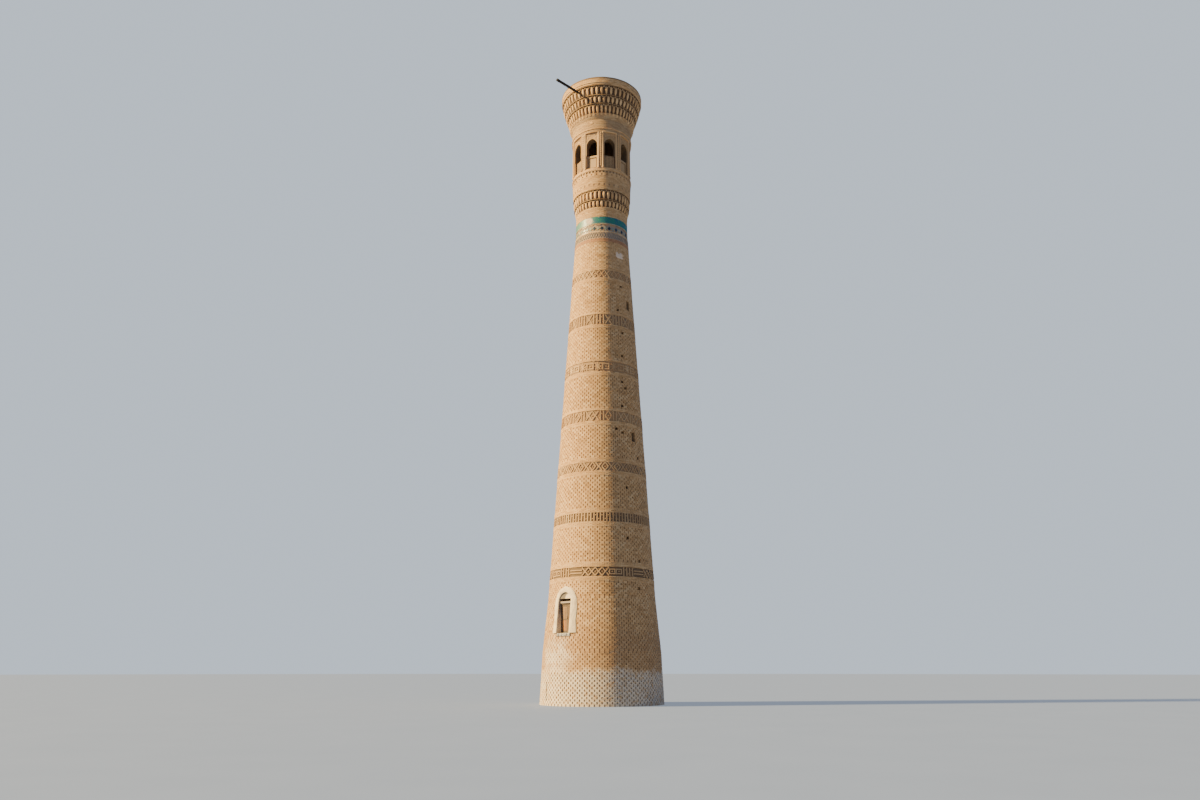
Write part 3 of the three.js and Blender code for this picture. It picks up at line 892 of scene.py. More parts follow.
ornament = {
    'recess': 0.036, 'rail': 0.03, 'root': 0.056, 'sink': 0.002,
    'figures': {  # bars of each figure, in shares of its width and height
        'lattice': [(-.5, -.44, .5, .44), (-.5, .44, .5, -.44), (.42, 0, .58, 0)],
        'net': [(-.5, -.44, .5, .44), (-.5, .44, .5, -.44)],
        'lozenge': [
            (-.5, 0, 0, .44), (0, .44, .5, 0), (.5, 0, 0, -.44), (0, -.44, -.5, 0), (-.09, 0, .09, 0)],
        'square': [
            (-.4, -.3, -.4, .3), (.4, -.3, .4, .3), (-.46, .24, .46, .24), (-.46, -.24, .46, -.24),
            (-.1, 0, .1, 0)],
        'upright': [
            (-.25, -.46, -.25, .46), (.25, -.46, .25, .46), (-.07, .2, .07, .2), (.43, -.2, .57, -.2)],
        'rosette': [(-.44, 0, .44, 0), (0, -.4, 0, .4), (-.28, -.3, .28, .3), (-.28, .3, .28, -.3)],
        'ladder': [(-.5, -.15, .5, -.15), (-.5, .15, .5, .15)],
    },
    'bands': {  # field between the borders, width of a figure, its strips, the recess, the figures in turn
        'band_1': (6.65, 7.15, 0.37, 0.056, 'darkRecess', [
            'ladder', 'ladder', *['lattice'] * 4, 'square', 'square', 'upright', 'upright']),
        'band_2': (9.62, 10.16, 0.36, 0.062, 'darkRecess', ['upright']),
        'band_3': (12.52, 13.05, 0.36, 0.054, 'recess', ['lattice', 'lozenge']),
        'band_4': (15.50, 16.13, 0.39, 0.058, 'paleRecess', [
            'lattice', 'lattice', 'upright', 'lozenge', 'upright']),
        'band_5': (18.56, 19.22, 0.46, 0.06, 'paleRecess', ['rosette', 'square']),
        'band_6': (21.62, 22.29, 0.39, 0.06, 'recess', ['upright', 'upright', 'lattice']),
        'band_7': (24.76, 25.30, 0.31, 0.05, 'paleRecess', ['lattice']),
    },
}


def figureUnit(name, figures, width, height, strip):  # figures side by side as one repeated shape
    root, rail = ornament['root'], ornament['rail']
    bars = []
    for place, figure in enumerate(figures):
        middle = (place - (len(figures) - 1) / 2) * width
        for x0, z0, x1, z1 in ornament['figures'][figure]:
            start = (middle + x0 * width, z0 * height)
            end = (middle + x1 * width, z1 * height)
            bars.append((start, end, strip, -0.0016 * (len(bars) % 7), root))
    half = len(figures) * width / 2
    for side in (-1, 1):
        level = side * (height - rail) / 2
        bars.append(((-half, level), (half, level), rail, 0.002, root))
    return unit(name, bars)


proud = tower['bandProud']
for node, (fieldLow, fieldHigh, cell, strip, recessName, figures) in ornament['bands'].items():
    wall, low, high = ringWall(node + '_ornament', node, ornament['recess'], recessName, proud)
    laySingles(wall, low, fieldLow, 'borderBrick', proud)
    laySingles(wall, fieldHigh, high, 'borderBrick', proud)
    sunk = proud - ornament['sink']
    count = round(pitchOf(fieldLow, fieldHigh, cell * len(figures), sunk))
    width = pitchOf(fieldLow, fieldHigh, count * len(figures), sunk)
    shape = figureUnit(node + '_figure', figures, width, fieldHigh - fieldLow, strip)
    lay(wall, shape, 'ornamentBrick', count, 1, fieldLow, fieldHigh, proud=sunk, ruffle=0.006)
    handOver(wall, 'ornament_brick', node)
print('ornamental bands laid')

collar = {'redTop': 27.54, 'cells': 66, 'strip': 0.026, 'recess': 0.03, 'edge': 0.06, 'edgeProud': 0.016}
wall, low, high = ringWall('collar_ornament', 'patterned_collar', collar['recess'], 'greyJoint', proud)
redTop, netTop = collar['redTop'], high - collar['edge']
laySingles(wall, low, redTop - collar['edge'], 'redBrick', proud)
laySingles(wall, redTop - collar['edge'], redTop, 'redBrick', collar['edgeProud'])
laySingles(wall, netTop, high, 'borderBrick', collar['edgeProud'])
width = pitchOf(redTop, netTop, collar['cells'], proud)
shape = figureUnit('collar_figure', ['net'], width, netTop - redTop, collar['strip'])
lay(wall, shape, 'greyBrick', collar['cells'], 1, redTop, netTop, proud=proud)
handOver(wall, 'ornament_brick', 'patterned_collar')

stars = {
    'count': 22, 'diamondHalf': (0.1, 0.135), 'diamondSink': 0.004, 'starReach': 0.135,
    'starWaist': 0.062, 'room': 0.2, 'scallopLevel': 28.515, 'scallopHalf': 0.04, 'ticks': 44,
    'tick': 0.05, 'tickFoot': 0.05, 'edgeTiles': 54, 'edgeTile': (0.19, 0.04),
}
wall, low, high = ringWall('star_tiles', 'star_tile_belt', bond['beltGap'], 'greyJoint')


def diamondOf(name, halfWide, halfTall, front):
    return plateUnit(name, [(0, -halfTall), (halfWide, 0), (0, halfTall), (-halfWide, 0)], front)


palePoints = []
for i in range(8):
    turn = math.pi * i / 4 - math.pi / 2
    size = stars['starWaist' if i % 2 else 'starReach']
    palePoints.append((size * math.cos(turn), size * math.sin(turn)))
middle = (low + stars['scallopLevel'] - 0.03) / 2
belt = (middle - stars['room'], middle + stars['room'])
scallopRoom = (stars['scallopLevel'] - stars['scallopHalf'], stars['scallopLevel'] + stars['scallopHalf'])
tick, footLow = stars['tick'], low + stars['tickFoot']
step = math.pi / stars['count']
diamond = diamondOf('dark_diamond', *stars['diamondHalf'], stars['diamondSink'])
paleStar = plateUnit('pale_star', palePoints, 0.0)
scallopLine = [(-0.19, 0.02), (-0.1, -0.025), (0.1, -0.025), (0.19, 0.02)]
scallop = unit('ochre_scallop', [(*ends, 0.035) for ends in zip(scallopLine, scallopLine[1:])])
tickTile = diamondOf('ochre_tick', tick, tick, 0.002)
edgeTile = unit('edge_tile', [flatBar(stars['edgeTile'][0], 0.0, stars['edgeTile'][1])])
for shape, finishName, count, bottom, top, lift, start in (
    (diamond, 'darkGlaze', stars['count'], *belt, 0.0, 0.0),
    (paleStar, 'paleGlaze', stars['count'], *belt, 0.0, step),
    (scallop, 'ochreGlaze', stars['count'], *scallopRoom, 0.002, step),
    (tickTile, 'ochreGlaze', stars['ticks'], footLow, footLow + 2 * tick, 0.0, step / 2),
    (edgeTile, 'whiteGlaze', stars['edgeTiles'], high - 0.05, high, 0.006, 0.0),
    (edgeTile, 'whiteGlaze', stars['edgeTiles'], low, low + 0.045, 0.004, 0.0),
):
    lay(wall, shape, finishName, count, 1, bottom, top, proud=lift, start=start)
handOver(wall, 'star_tile', 'star_tile_belt')

glazed = {'gap': 0.02, 'tile': (0.148, 0.142), 'columns': 68, 'rows': 3, 'edge': 0.01}
wall, low, high = ringWall('glazed_tiles', 'glazed_belt', glazed['gap'], 'joint')
glazeTile = unit('glazed_tile', [flatBar(glazed['tile'][0], 0.0, glazed['tile'][1])])
lay(wall, glazeTile, 'turquoise', glazed['columns'], glazed['rows'], low + glazed['edge'],
    high - glazed['edge'], wallRadii(low, high), stagger=0.5, depthSpread=0.003, ruffle=0.004)
handOver(wall, 'turquoise_glaze', 'glazed_belt')

wall, low, high = ringWall('neck_bricks', 'neck', bond['beltGap'], 'joint')
for bottom, top in evenStretches(low, high):
    laySingles(wall, bottom, top, 'wallBrick')
handOver(wall, 'brick', 'neck')
print('belts laid')

cornice = {
    'depth': 0.085, 'rows': 7, 'course': 0.036, 'courseBrick': 0.031, 'courseProud': -0.012,
    'archBar': 0.03, 'archShare': 0.38,
    'lower': {'wide': 0.172, 'cells': 40, 'radii': [(1.668, 1.8), (1.8, 1.86)], 'inner': 1.15},
    'upper': {
        'wide': 0.16, 'cells': 50, 'radii': [(2.117, 2.31), (2.33, 2.488), (2.5, 2.644)], 'inner': 1.43},
}
bracketSpread = {'sizeSpread': 0.05, 'depthSpread': 0.004, 'ruffle': 0.006}


def bracketUnit(name, height, wide):  # pointed oval that stands out between two niches
    rows, depth = cornice['rows'], cornice['depth']
    points = []
    for row in range(rows + 1):
        share = row / rows
        swell = max(math.sin(math.pi * min(1, 0.06 + share * 0.92)), 0) ** 0.7
        half, out = wide / 2 * swell, depth * (1 - swell)
        level = (share - 0.5) * height
        right = [(half * 0.45, out + 0.006), (half, out + depth * 0.45), (half, depth + 0.03)]
        points += [(-x, y, level) for x, y in right[::-1]] + [(x, y, level) for x, y in right]
    top = rows * 6
    ends = [(5, *range(5)), (top, *range(top + 5, top, -1))]
    return faceOut(meshPiece(name, points, woven(rows + 1, 6) + ends, linked=False))


def tierPiece(node, radii, wide, cells, inner, start, beamHole=None):
    low, high = levels(node)
    depth, height = cornice['depth'], high - low
    bracketHigh = high - cornice['course']
    crown = height - cornice['course']
    step, pitch = 2 * math.pi / cells, math.pi * sum(radii) / cells

    def radiusAt(z):
        return radii[0] + (radii[1] - radii[0]) * (z - low) / height

    profile = [
        (radii[0] - depth * 0.7, low), (radiusAt(low + height * 0.5) - depth, low + height * 0.5),
        (radii[1] - depth, bracketHigh), (radii[1] - 0.03, bracketHigh), (radii[1] - 0.03, high),
        (inner, high), (inner, low),
    ]
    piece = turned(node + '_cells', profile, 'nicheJoint', inner + 0.02)
    if beamHole:
        cutBy(piece, beamHole)
    bracket = bracketUnit(node + '_bracket', crown - 0.006, wide)
    bracketRadii = (radii[0], radiusAt(bracketHigh))
    lay(piece, bracket, 'bracketBrick', cells, 1, low, bracketHigh, bracketRadii, start=start,
        **bracketSpread)
    headLow = low + crown * (1 - cornice['archShare'])
    rise = crown * cornice['archShare']
    peak = unit(node + '_arch', [
        ((side * pitch * 0.46, -rise * 0.42), (0.0, rise * 0.44), cornice['archBar'], front, depth + 0.02)
        for side, front in ((-1, 0.04), (1, 0.042))])
    headRadii = [radiusAt(z) for z in (headLow, bracketHigh)]
    lay(piece, peak, 'ornamentBrick', cells, 1, headLow, bracketHigh, headRadii, start=start + step / 2,
        ruffle=0.006)
    courseRadius = radii[1] + cornice['courseProud']
    courseUnit = unit(node + '_course', [flatBar(bond['singleLength'], 0.0, cornice['courseBrick'])])
    columns = round(2 * math.pi * courseRadius / (bond['singleLength'] + bond['singleGap']))
    lay(piece, courseUnit, 'courseBrick', columns, 1, bracketHigh, high, (courseRadius, courseRadius),
        ruffle=0.004)
    handOver(piece, 'ornament_brick', node)


beam = {
    'azimuth': -45.4, 'offset': 0.435, 'level': 37.89, 'hole': 0.0803, 'root': 2.0, 'tip': 4.445,
    'steps': 40, 'corners': 8, 'half': 0.078, 'thicker': 0.17, 'head': 0.13,
}
hole = beam['hole']
socket = localBox(beam['azimuth'], (beam['offset'] - hole, beam['offset'] + hole), (beam['root'], 6.0),
                  (beam['level'] - hole, beam['level'] + hole))
beamSocket = meshPiece('beam_socket', socket, boxFaces)
for group in ('lower', 'upper'):
    values = cornice[group]
    for i, radii in enumerate(values['radii']):
        node = '%s_cornice_tier_%d' % (group, i + 1)
        low, high = levels(node)
        tierPiece(node, radii, values['wide'], values['cells'], values['inner'],
                  i % 2 * math.pi / values['cells'], beamSocket if low < beam['level'] < high else None)
print('cornices laid')

drum = {'low': 31.2, 'high': 31.33, 'count': 36, 'wide': 0.11}  # its pierced row
wall, low, high = ringWall('lantern_drum_bricks', 'lantern_drum', bond['beltGap'], 'joint')
laySingles(wall, low, drum['low'], 'wallBrick')
laySingles(wall, drum['high'], high, 'wallBrick')
length = pitchOf(drum['low'], drum['high'], drum['count']) - drum['wide']
height = drum['high'] - drum['low']
pierced = unit('pierced_row', [
    flatBar(length, side * height / 4, height * 0.46, 0.001 * side) for side in (-1, 1)])
lay(wall, pierced, 'wallBrick', drum['count'], 1, drum['low'], drum['high'])
handOver(wall, 'brick', 'lantern_drum')

ledge = {
    'dotCells': 36, 'dashCells': 54, 'dashWide': 0.11, 'top': 0.1, 'lip': 0.12, 'dash': 0.15,
    'recess': 0.045, 'lipProud': 0.037,
}
wall, low, high = ringWall('ledge_ornament', 'lantern_ledge', ledge['recess'], 'recess', proud)
lipTop = high - ledge['top']
lipLow = lipTop - ledge['lip']
dotTop = lipLow - ledge['dash']
pitch, height = pitchOf(low, dotTop, ledge['dotCells'], proud), dotTop - low
dot = unit('dotted_figure', [
    ((-pitch / 2, side * height * 0.36), (pitch / 2, side * height * 0.36), height * 0.28) for side in (1, -1)
] + [((a * pitch, 0), (b * pitch, 0), height * 0.5, 0.002) for a, b in ((-0.5, -0.16), (0.16, 0.5))])
lay(wall, dot, 'borderBrick', ledge['dotCells'], 1, low, dotTop, proud=proud)
dash = unit('dash_brick', [flatBar(ledge['dashWide'], 0.0, ledge['dash'] * 0.9)])
lay(wall, dash, 'ornamentBrick', ledge['dashCells'], 1, dotTop, lipLow, proud=proud)
laySingles(wall, lipLow, lipTop, 'borderBrick', ledge['lipProud'])
laySingles(wall, lipTop, high, 'wallBrick', proud)
handOver(wall, 'ornament_brick', 'lantern_ledge')

lantern = {
    'bays': 10, 'firstBay': 16.0, 'bayStep': 36.0, 'half': 0.45, 'plane': 1.845, 'top': 35.08,
    'floor': 32.46, 'windowHalf': 0.36, 'spring': 34.2, 'rise': 0.44, 'sill': 33.46,
    'skin': 0.012, 'skinTop': 35.27,
}
floorLevel, skinTop, skin, half = lantern['floor'], lantern['skinTop'], lantern['skin'], lantern['half']
bayTool = faceOut(meshPiece('bay_openings', *joinShapes([
    localBox(lantern['firstBay'] + lantern['bayStep'] * i, (-half, half), (1.2, 3.0),
             (floorLevel - 0.1, lantern['top'])) for i in range(lantern['bays'])])))
pierSkin = meshPiece('lantern_pier_bricks', [], [], ['lanternBrick'])
laySingles(pierSkin, floorLevel, skinTop, 'lanternBrick', skin, bayTool)
handOver(pierSkin, 'brick')
crownSkin = meshPiece('lantern_crown_bricks', [], [], ['lanternBrick'])
for bottom, top in evenStretches(*levels('lantern_crown')):
    laySingles(crownSkin, bottom, top, 'lanternBrick', skin)
laySingles(crownSkin, skinTop + 0.02, skinTop + 0.08, 'bracketBrick', skin + 0.035)
teeth = {'count': 50, 'low': 36.22, 'high': 36.35, 'wide': 0.12, 'proud': 0.03}
tooth = unit('crown_tooth', [flatBar(teeth['wide'], 0.0, teeth['high'] - teeth['low'])])
lay(crownSkin, tooth, 'bracketBrick', teeth['count'], 1, teeth['low'], teeth['high'], proud=teeth['proud'])
handOver(crownSkin, 'brick')


def makeBayTree():
    graph, given = startTree('bays', {
        'bay': 'Geometry', 'finish': 'Material', 'count': 'Int', 'first': 'Float', 'step': 'Float'})
    turn = given.first + graph.add('GeometryNodeInputIndex') * given.step
    points = graph.add('GeometryNodePoints', None, {'Count': given.count})
    chance = graph.add('FunctionNodeRandomValue', {'data_type': 'FLOAT'}, {'Seed': 7}, 1)
    laid = {'Points': points, 'Instance': given.bay, 'Rotation': graph.gather(0.0, 0.0, turn)}
    real = placeCopies(graph, laid, chance)
    done = graph.add('GeometryNodeSetMaterial', None, {'Geometry': real, 'Material': given.finish})
    graph.add('NodeGroupOutput', None, {'shape': done})
    return graph.tree


bayTree = makeBayTree()


def repeatBays(name, shapes, finishName, slot, count=10, first=16.0, step=36.0):
    piece = faceOut(meshPiece(name, *joinShapes(shapes), [finishName]))
    addTree(piece, bayTree, {'finish': finishes[finishName], 'count': count,
                             'first': math.radians(first), 'step': math.radians(step)})
    handOver(piece, slot)


bay = {
    'post': 0.05, 'postProud': 0.034, 'postShift': 0.004, 'postOver': 0.03,
    'postFoot': [(1.15, 0.0), (1.15, 0.1), (0.8, 0.14)],  # share of the radius, level above the floor
    'postHead': [(0.8, -0.16), (1.1, -0.1), (1.1, 0.0)],  # the same, level from the top
    'head': 0.05, 'headOut': 0.014, 'headParts': 8, 'headBack': 0.11, 'archWide': 0.075,
    'archOut': 0.022, 'archBack': 0.03, 'archGap': 0.06, 'jambBricks': 12,
}
edgeOut = wallFace(half, 34.0)
postTop = lantern['top'] + bay['postOver']
rings = [(bay['post'] * share, floorLevel + z) for share, z in bay['postFoot']]
rings += [(bay['post'] * share, postTop + z) for share, z in bay['postHead']]
repeatBays('lantern_colonnettes', [
    roundPost(0, side * (half + bay['postShift']), edgeOut + bay['postProud'] - bay['post'], rings)
    for side in (-1, 1)], 'borderBrick', 'brick')
headMould = meshPiece('lantern_heads', [], [], ['borderBrick'])
reach = half + 0.03
pitch = 2 * reach / bay['headParts']
headUnit = unit('head_moulding', [
    ((-reach + i * pitch, 0), (-reach + (i + 1) * pitch, 0), bay['head'], 0.0, bay['headBack'])
    for i in range(bay['headParts'])])
headLow = lantern['top'] - 0.006
headHigh = headLow + bay['head']
lay(headMould, headUnit, 'borderBrick', lantern['bays'], 1, headLow, headHigh,
    proud=skin + bay['headOut'], start=math.radians(lantern['firstBay']))
handOver(headMould, 'brick')

rosette = {'azimuth': -20.0, 'level': 35.78, 'size': 0.11, 'petal': 0.045, 'proud': 0.018}
rosetteOut = wallRadius(rosette['level']) + skin
petals = []
for i in range(4):
    turn = math.pi * i / 4
    x, z = rosette['size'] * math.cos(turn), rosette['size'] * math.sin(turn)
    petals.append(slanted((-x, rosette['level'] - z), (x, rosette['level'] + z), rosette['petal'],
                          (rosetteOut - 0.03, rosetteOut + rosette['proud'] - 0.003 * i)))
repeatBays('crown_rosette', petals, 'borderBrick', 'ornament_brick', 1, rosette['azimuth'])

sill, spring, plane = lantern['sill'], lantern['spring'], lantern['plane']
archDepth = (plane - bay['archBack'], plane + bay['archOut'])
outline = archOutline(lantern['windowHalf'], sill, spring, lantern['rise'], 9)
archBricks = []
for (x0, z0), (x1, z1) in zip(outline[1:-2], outline[2:-1]):
    length, gap = math.hypot(x1 - x0, z1 - z0), bay['archGap']
    shift = bay['archWide'] / 2 / length
    sx, sz = -(z1 - z0) * shift, (x1 - x0) * shift
    start = (x0 + sx + (x1 - x0) * gap, z0 + sz + (z1 - z0) * gap)
    end = (x1 + sx - (x1 - x0) * gap, z1 + sz - (z1 - z0) * gap)
    archBricks.append(slanted(start, end, bay['archWide'], archDepth))
course = (spring - sill) / bay['jambBricks']
for i in range(bay['jambBricks']):
    for side in (-1, 1):
        ends = (side * lantern['windowHalf'], side * (lantern['windowHalf'] + bay['archWide']))
        level = (sill + course * i, sill + course * (i + 0.9))
        archBricks.append(upright(tuple(sorted(ends)), archDepth, level))
repeatBays('lantern_arch_bricks', archBricks, 'lanternBrick', 'brick')

spandrels = {
    'side': [(0.40 - 0.12 * i, 34.62 + 0.15 * i) for i in range(3)], 'sideBar': 0.028,
    'top': [((i - 3) * 0.125, 34.99) for i in range(7)], 'topBar': 0.026,
    'reach': 0.05, 'rise': 0.06, 'out': (-0.02, 0.014, 0.002),  # back, front and step of the crossed bars
}


def crossed(x, z, width):
    reach, rise = spandrels['reach'], spandrels['rise']
    back, front, step = spandrels['out']
    return [slanted((x - reach, z - way * rise), (x + reach, z + way * rise), width,
                    (plane + back, plane + front + (step if way < 0 else 0))) for way in (1, -1)]


spandrelBars = []
for side in (-1, 1):
    for x, z in spandrels['side']:
        spandrelBars += crossed(side * x, z, spandrels['sideBar'])
for x, z in spandrels['top']:
    spandrelBars += crossed(x, z, spandrels['topBar'])
repeatBays('lantern_spandrels', spandrelBars, 'ornamentBrick', 'ornament_brick')

panel = {
    'back': 1.66, 'face': 1.70, 'ground': 1.686, 'half': 0.358, 'frame': 0.07, 'low': 32.47, 'high': 33.45,
    'uprights': 7, 'uprightPitch': 0.095, 'uprightHalf': 0.018, 'lines': 9, 'linePitch': 0.1, 'line': 0.02,
}
plainBays, latticeBays = (5, 52.0, 72.0), (5, 16.0, 72.0)  # count, first bearing and step


def panelBox(left, right, front, bottom, top):
    return upright((left, right), (panel['back'], panel['face'] + front), (bottom, top))


half, low, high = panel['half'], panel['low'], panel['high']
inner = half - panel['frame']
repeatBays('plain_panels', [
    panelBox(-half, -inner, 0.045, low, high), panelBox(inner, half, 0.045, low, high),
    panelBox(-inner, inner, 0.044, low, low + 0.09), panelBox(-inner, inner, 0.044, high - 0.14, high),
    panelBox(-inner + 0.05, inner - 0.05, 0.014, low + 0.14, high - 0.19),
], 'lanternBrick', 'brick', *plainBays)
lattice = []
for i in range(panel['uprights']):
    x = (i - 3) * panel['uprightPitch']
    lattice.append(panelBox(x - panel['uprightHalf'], x + panel['uprightHalf'], 0.02, low, high))
for i in range(panel['lines']):
    z = low + 0.055 + i * panel['linePitch']
    lattice.append(slanted((-half, z), (half, z), panel['line'], (panel['back'], panel['face'] + 0.012)))
repeatBays('lattice_panels', lattice, 'ornamentBrick', 'ornament_brick', *latticeBays)
backPlate = upright((-half, half), (panel['back'], panel['ground']), (low, high))
# painted shade: the ground behind the lattice takes the dark niche tone
repeatBays('lattice_grounds', [backPlate], 'nicheJoint', 'brick', *latticeBays)
panelSill = panelBox(-half, half, 0.1, low - 0.005, low + 0.06)
repeatBays('panel_sills', [panelSill], 'borderBrick', 'brick', *latticeBays)

pier = {
    'first': -2.0, 'strips': 16, 'low': 32.6, 'pitch': 0.155, 'tall': 0.115, 'half': 0.035, 'proud': 0.016,
}
strips = []
for i in range(pier['strips']):
    z = pier['low'] + i * pier['pitch']
    r = wallRadius(z) + skin
    depth = (r - 0.05, r + pier['proud'])
    strips.append(upright((-pier['half'], pier['half']), depth, (z, z + pier['tall'])))
repeatBays('pier_strips', strips, 'borderBrick', 'brick', 10, pier['first'])
print('lantern dressed')

rim = {
    'inner': 1.6, 'low': 38.15, 'top': 38.69,
    'steps': [(2.6, 38.15, 38.185), (2.63, 38.185, 38.29), (2.668, 38.29, 38.6), (2.676, 38.6, 38.69)],
    'courses': [  # levels, finish and radii
        (38.185, 38.285, 'borderBrick', (2.648, 2.652)), (38.295, 38.6, 'borderBrick', (2.682, 2.684)),
        (38.6, levels('rim')[1] - 0.006, 'darkBrick', (2.6895, 2.6895)),
    ],
}
rimProfile = [(radius, z) for radius, *ends in rim['steps'] for z in ends]
rimProfile += [(rim['inner'], rim['top']), (rim['inner'], rim['low'])]
rimPiece = turned('rim_courses', rimProfile, 'roofBrick', rim['inner'] + 0.02)
for low, high, finishName, radii in rim['courses']:
    laySingles(rimPiece, low, high, finishName, radii=radii)
handOver(rimPiece, 'base_brick', 'rim')

nodeFinishes = {
    'roof_dome': 'roofBrick', 'lantern_floor': 'floorTimber', 'entry_floor': 'stone',
    'door_frame': 'frameTimber', 'door_lintel': 'lintelTimber', 'door_tympanum': 'lunette',
    'lantern_parapet': 'lining', 'lantern_crown': 'lining',
    **{'lantern_arcade_%d' % (i + 1): 'lining' for i in range(5)},
}
for node, finishName in nodeFinishes.items():
    for place in frame['nodes'][node].material_slots:
        place.material = finishes[finishName]


def wobble(seed, *values):  # repeatable, between -1 and 1
    return math.sin(seed * 12.9898 + sum((i + 1.7) * 4.137 * v for i, v in enumerate(values)) * 2.31)


surround = {
    'steps': 14, 'columns': 7, 'legSteps': 16, 'proud': 0.02, 'buried': 0.02, 'left': 0.24, 'right': 0.29,
    'top': 0.18, 'peak': 0.1, 'foot': 0.06, 'inLeft': 0.985, 'inRight': 0.94, 'splay': 1.15,
}
plasterThickness = 0.05


def makePlasterArch():
    columns, floorLevel, spring = surround['columns'], doorway['sill'], doorway['spring']
    arch = archOutline(doorway['half'], floorLevel, spring, doorway['rise'], surround['steps'])
    rise = (spring - floorLevel) / surround['legSteps']
    leftLeg = [(-doorway['half'], floorLevel + rise * i) for i in range(surround['legSteps'])]
    rightLeg = [(-x, z) for x, z in leftLeg[::-1]]
    back = [(x * surround['inLeft' if x < 0 else 'inRight'], z) for x, z in leftLeg + arch[1:-1] + rightLeg]
    path = [(x * surround['splay'] if x < 0 else x, z) for x, z in back]  # the left side is splayed
    points = []
    for i, (x, z) in enumerate(path):
        before, after = path[max(i - 1, 0)], path[min(i + 1, len(path) - 1)]
        along = Vector((after[0] - before[0], after[1] - before[1])).normalized()
        share = i / (len(path) - 1)
        side = min(1, abs(share - 0.5) / 0.22)
        wide = surround['top'] + (surround['left' if share < 0.5 else 'right'] - surround['top']) * side
        wide += surround['peak'] * max(0, 1 - abs(share - 0.5) * 9) ** 2
        wide += surround['foot'] * max(0, 1 - abs(share - 1) * 3.2)
        wide += 0.022 * wobble(3, i * 0.033) + 0.006 * wobble(5, i * 0.09)
        for column in range(columns + 1):
            part = column / columns
            u, level = x - along.y * wide * part, max(z + along.x * wide * part, floorLevel)
            thick = surround['proud'] - (surround['proud'] + surround['buried']) * part ** 3
            front = wallFace(u, level) + thick + 0.004 * wobble(7, u * 6, level * 5)
            if column == 0:
                points += [atDoor(back[i][0], doorway['plane'], level), atDoor(u, front - 0.02, level)]
            points.append(atDoor(u, front, level))
    faces = woven(len(path), columns + 3, loop=False)
    piece = faceOut(meshPiece('door_plaster', points, faces, ['doorPlaster']))
    middle = piece.data.polygons[len(faces) // 2]
    if middle.normal.xy.dot(middle.center.xy) < 0:
        piece.data.flip_normals()
    modify(piece, 'SOLIDIFY', thickness=plasterThickness, offset=-1)
    handOver(piece, 'plaster', 'door_surround')


makePlasterArch()

sillStone = {
    'columns': 30, 'parts': 9, 'half': 0.4745, 'back': 2.816, 'low': 3.505, 'top': 3.6995, 'front': 0.035,
    'bite': 0.045, 'round': 0.05,
}


def makeSill():
    columns, parts, low, top = [sillStone[key] for key in ('columns', 'parts', 'low', 'top')]
    points = []
    for column in range(columns + 1):
        share = column / columns
        u = sillStone['half'] * (2 * share - 1)
        surface = wallFace(u, low)
        limit = surface + sillStone['front']
        bite = sillStone['bite'] + 0.03 * wobble(23, share * 1.3) + 0.015 * wobble(29, share * 3.1)
        lowest = low + 0.008 + 0.006 * wobble(37, share * 1.6)
        points += [atDoor(u, sillStone['back'], low), atDoor(u, surface - 0.07, low)]
        for part in range(parts):
            up = part / (parts - 1)
            front = limit - bite - sillStone['round'] * (2 * up - 1) ** 4
            front += 0.011 * wobble(47, share * 4.1, up * 0.5) + 0.006 * wobble(53, share * 1.7, up * 1.4)
            points.append(atDoor(u, min(front, limit), lowest + (top - lowest) * up))
        points.append(atDoor(u, sillStone['back'], top))
    piece = meshPiece('door_sill_stone', points, capped(columns + 1, parts + 3), ['stone'])
    handOver(faceOut(piece), 'stone', 'door_sill')


makeSill()

leaf = {
    'plane': 2.86, 'post': 0.385, 'low': 3.745, 'high': 5.185, 'gap': 0.0035, 'stile': 0.055, 'rail': 0.09,
    'middle': 4.42, 'frameHalf': 0.021, 'railHalf': 0.02, 'boards': 3, 'studs': (0.08, 0.2, 0.32),
    'postRings': [  # radius and level: pintle, post, pintle
        (0.0138, 3.711), (0.0138, 3.746), (0.0245, 3.746), (0.0245, 5.184), (0.0138, 5.184),
        (0.0138, 5.219)],
    'lock': [(0.006, 0.05, 0.018, 0.034, 4.50, 4.57), (0.012, 0.03, 0.03, 0.045, 4.43, 4.5)],
}


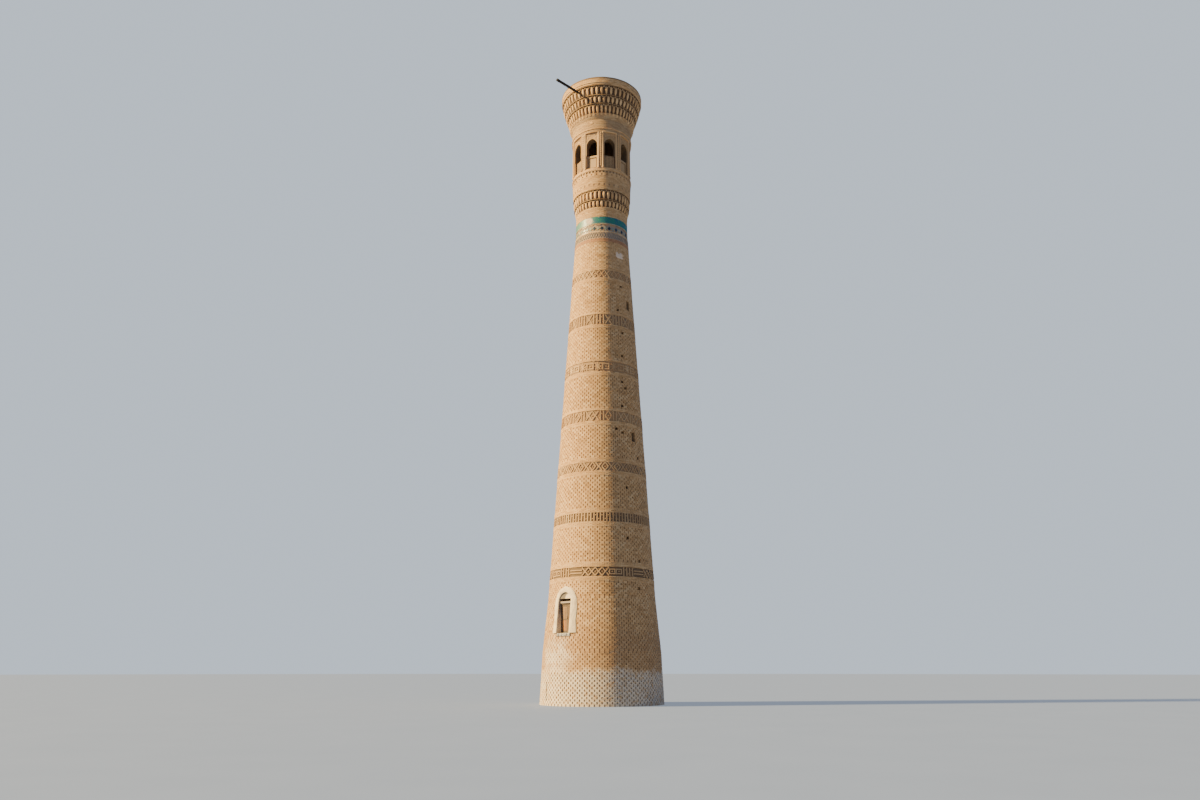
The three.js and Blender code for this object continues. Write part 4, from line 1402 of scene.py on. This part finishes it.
def makeLeaf(side):
    sideName = 'left' if side < 0 else 'right'
    body = sideName + '_leaf'
    plane, post, low, high, rail, middle = [leaf[key] for key in (
        'plane', 'post', 'low', 'high', 'rail', 'middle')]
    near, far = leaf['stile'], post - 0.03

    def board(start, end, back, front, bottom, top):  # measured from the edge where the leaves meet
        across = tuple(sorted((side * start, side * end)))
        return localBox(doorway['azimuth'], across, (plane + back, plane + front), (bottom, top))

    deep, thin = leaf['frameHalf'], leaf['railHalf']
    parts = {'frame': [], 'panels': [], 'boards': [], 'ironwork': []}
    for ends in ((leaf['gap'], near), (far, post + 0.012)):
        parts['frame'].append(board(*ends, -deep, deep, low, high))
    for bottom, top in ((high - rail, high), (middle - 0.035, middle + 0.035), (low, low + rail)):
        parts['frame'].append(board(near, far, -thin, thin, bottom, top))
    wide = (far - near) / leaf['boards']
    for i in range(leaf['boards']):
        span = (near + wide * i + 0.002, near + wide * (i + 1) - 0.002,
                -0.012 + 0.001 * i, 0.01 + 0.003 * (i % 2))
        parts['panels'].append(board(*span, middle + 0.03, high - rail + 0.01))
        parts['boards'].append(board(*span, low + rail - 0.01, middle - 0.03))
    for z in (low + 0.045, high - 0.045):
        for x in leaf['studs']:
            parts['ironwork'].append(board(x, x + 0.016, 0.018, 0.0235, z - 0.008, z + 0.008))
    if side > 0:
        parts['ironwork'] += [board(*box) for box in leaf['lock']]
    finishNames = ('frameTimber', 'panelTimber', 'boardTimber', 'iron')
    for (part, boxes), finishName in zip(parts.items(), finishNames):
        piece = faceOut(meshPiece('%s_leaf_%s' % (sideName, part), *joinShapes(boxes), [finishName]))
        modify(piece, 'BEVEL', width=0.003, segments=1)
        settle(piece)
        tone = piece.data.attributes.new('tone', 'FLOAT', 'POINT')
        random.seed(len(part) + side)
        perBox = len(piece.data.vertices) // len(boxes)
        shades = [random.random() for _ in boxes]
        for i in range(len(piece.data.vertices)):
            tone.data[i].value = shades[min(i // perBox, len(boxes) - 1)]
        handOver(piece, 'door_timber', *(['door_leaf_' + sideName] if part == 'frame' else []), body=body)
    shape = roundPost(doorway['azimuth'], side * post, plane, leaf['postRings'])
    handOver(faceOut(meshPiece(body + '_post', *shape, ['frameTimber'])), 'door_timber', body=body)


for side in (-1, 1):
    makeLeaf(side)
print('doorway dressed')

patch = {
    'azimuth': 38.5, 'level': 26.46, 'wide': 0.56, 'tall': 0.42, 'columns': 16, 'rows': 12, 'proud': 0.02,
}


def makePatch():
    points = []
    for column in range(patch['columns'] + 1):
        for row in range(patch['rows'] + 1):
            s, t = column / patch['columns'] * 2 - 1, row / patch['rows'] * 2 - 1
            pull = 1 - 0.12 * (s * s * t * t)
            u = s * patch['wide'] / 2 * pull * (1 + 0.16 * wobble(11, t * 0.35))
            z = t * patch['tall'] / 2 * pull * (1 + 0.2 * wobble(13, s * 0.3)) + patch['level']
            u, z = u + 0.035 * wobble(41, t * 0.32), z + 0.035 * wobble(43, s * 0.28)
            edge = max(abs(s), abs(t)) ** 4
            out = patch['proud'] * (1 - edge) - 0.012 * edge + 0.003 * wobble(17, u * 9, z * 9)
            points.append(atWall(patch['azimuth'], u, wallFace(u, z) + out, z))
    faces = woven(patch['columns'] + 1, patch['rows'] + 1, loop=False)
    piece = meshPiece('plaster_patch', points, faces, ['patchPlaster'])
    modify(piece, 'SOLIDIFY', thickness=plasterThickness, offset=-1)
    handOver(piece, 'plaster')


def makeBeam():
    steps, corners = beam['steps'], beam['corners']
    points = []
    for i in range(steps + 1):
        share = i / steps
        out = beam['root'] + (beam['tip'] - beam['root']) * share
        swell = beam['thicker'] * min(max((share - 0.32) / 0.12, 0), 1)
        swell += beam['head'] * min(max((share - 0.91) / 0.04, 0), 1)
        for corner in range(corners):
            turn = 2 * math.pi * (corner + 0.5) / corners
            size = beam['half'] * (1.0 + 0.05 * wobble(19, i * 0.45, corner * 1.9) - 0.05 * share + swell)
            u, z = beam['offset'] + size * math.cos(turn), beam['level'] + size * math.sin(turn)
            points.append(atWall(beam['azimuth'], u, out, z))
    piece = meshPiece('weathered_beam', points, capped(steps + 1, corners), ['beamTimber'])
    handOver(faceOut(piece), 'door_timber', 'rim_beam')


makePatch()
makeBeam()
for tool in (shaftOpenings, bayTool, beamSocket):
    bpy.data.objects.remove(tool)
print('patch and beam made')

triangles = 0
for piece in scene.objects:
    if piece.type == 'MESH':
        triangles += sum(len(face.vertices) - 2 for face in piece.data.polygons)
print('triangles in the scene:', triangles)
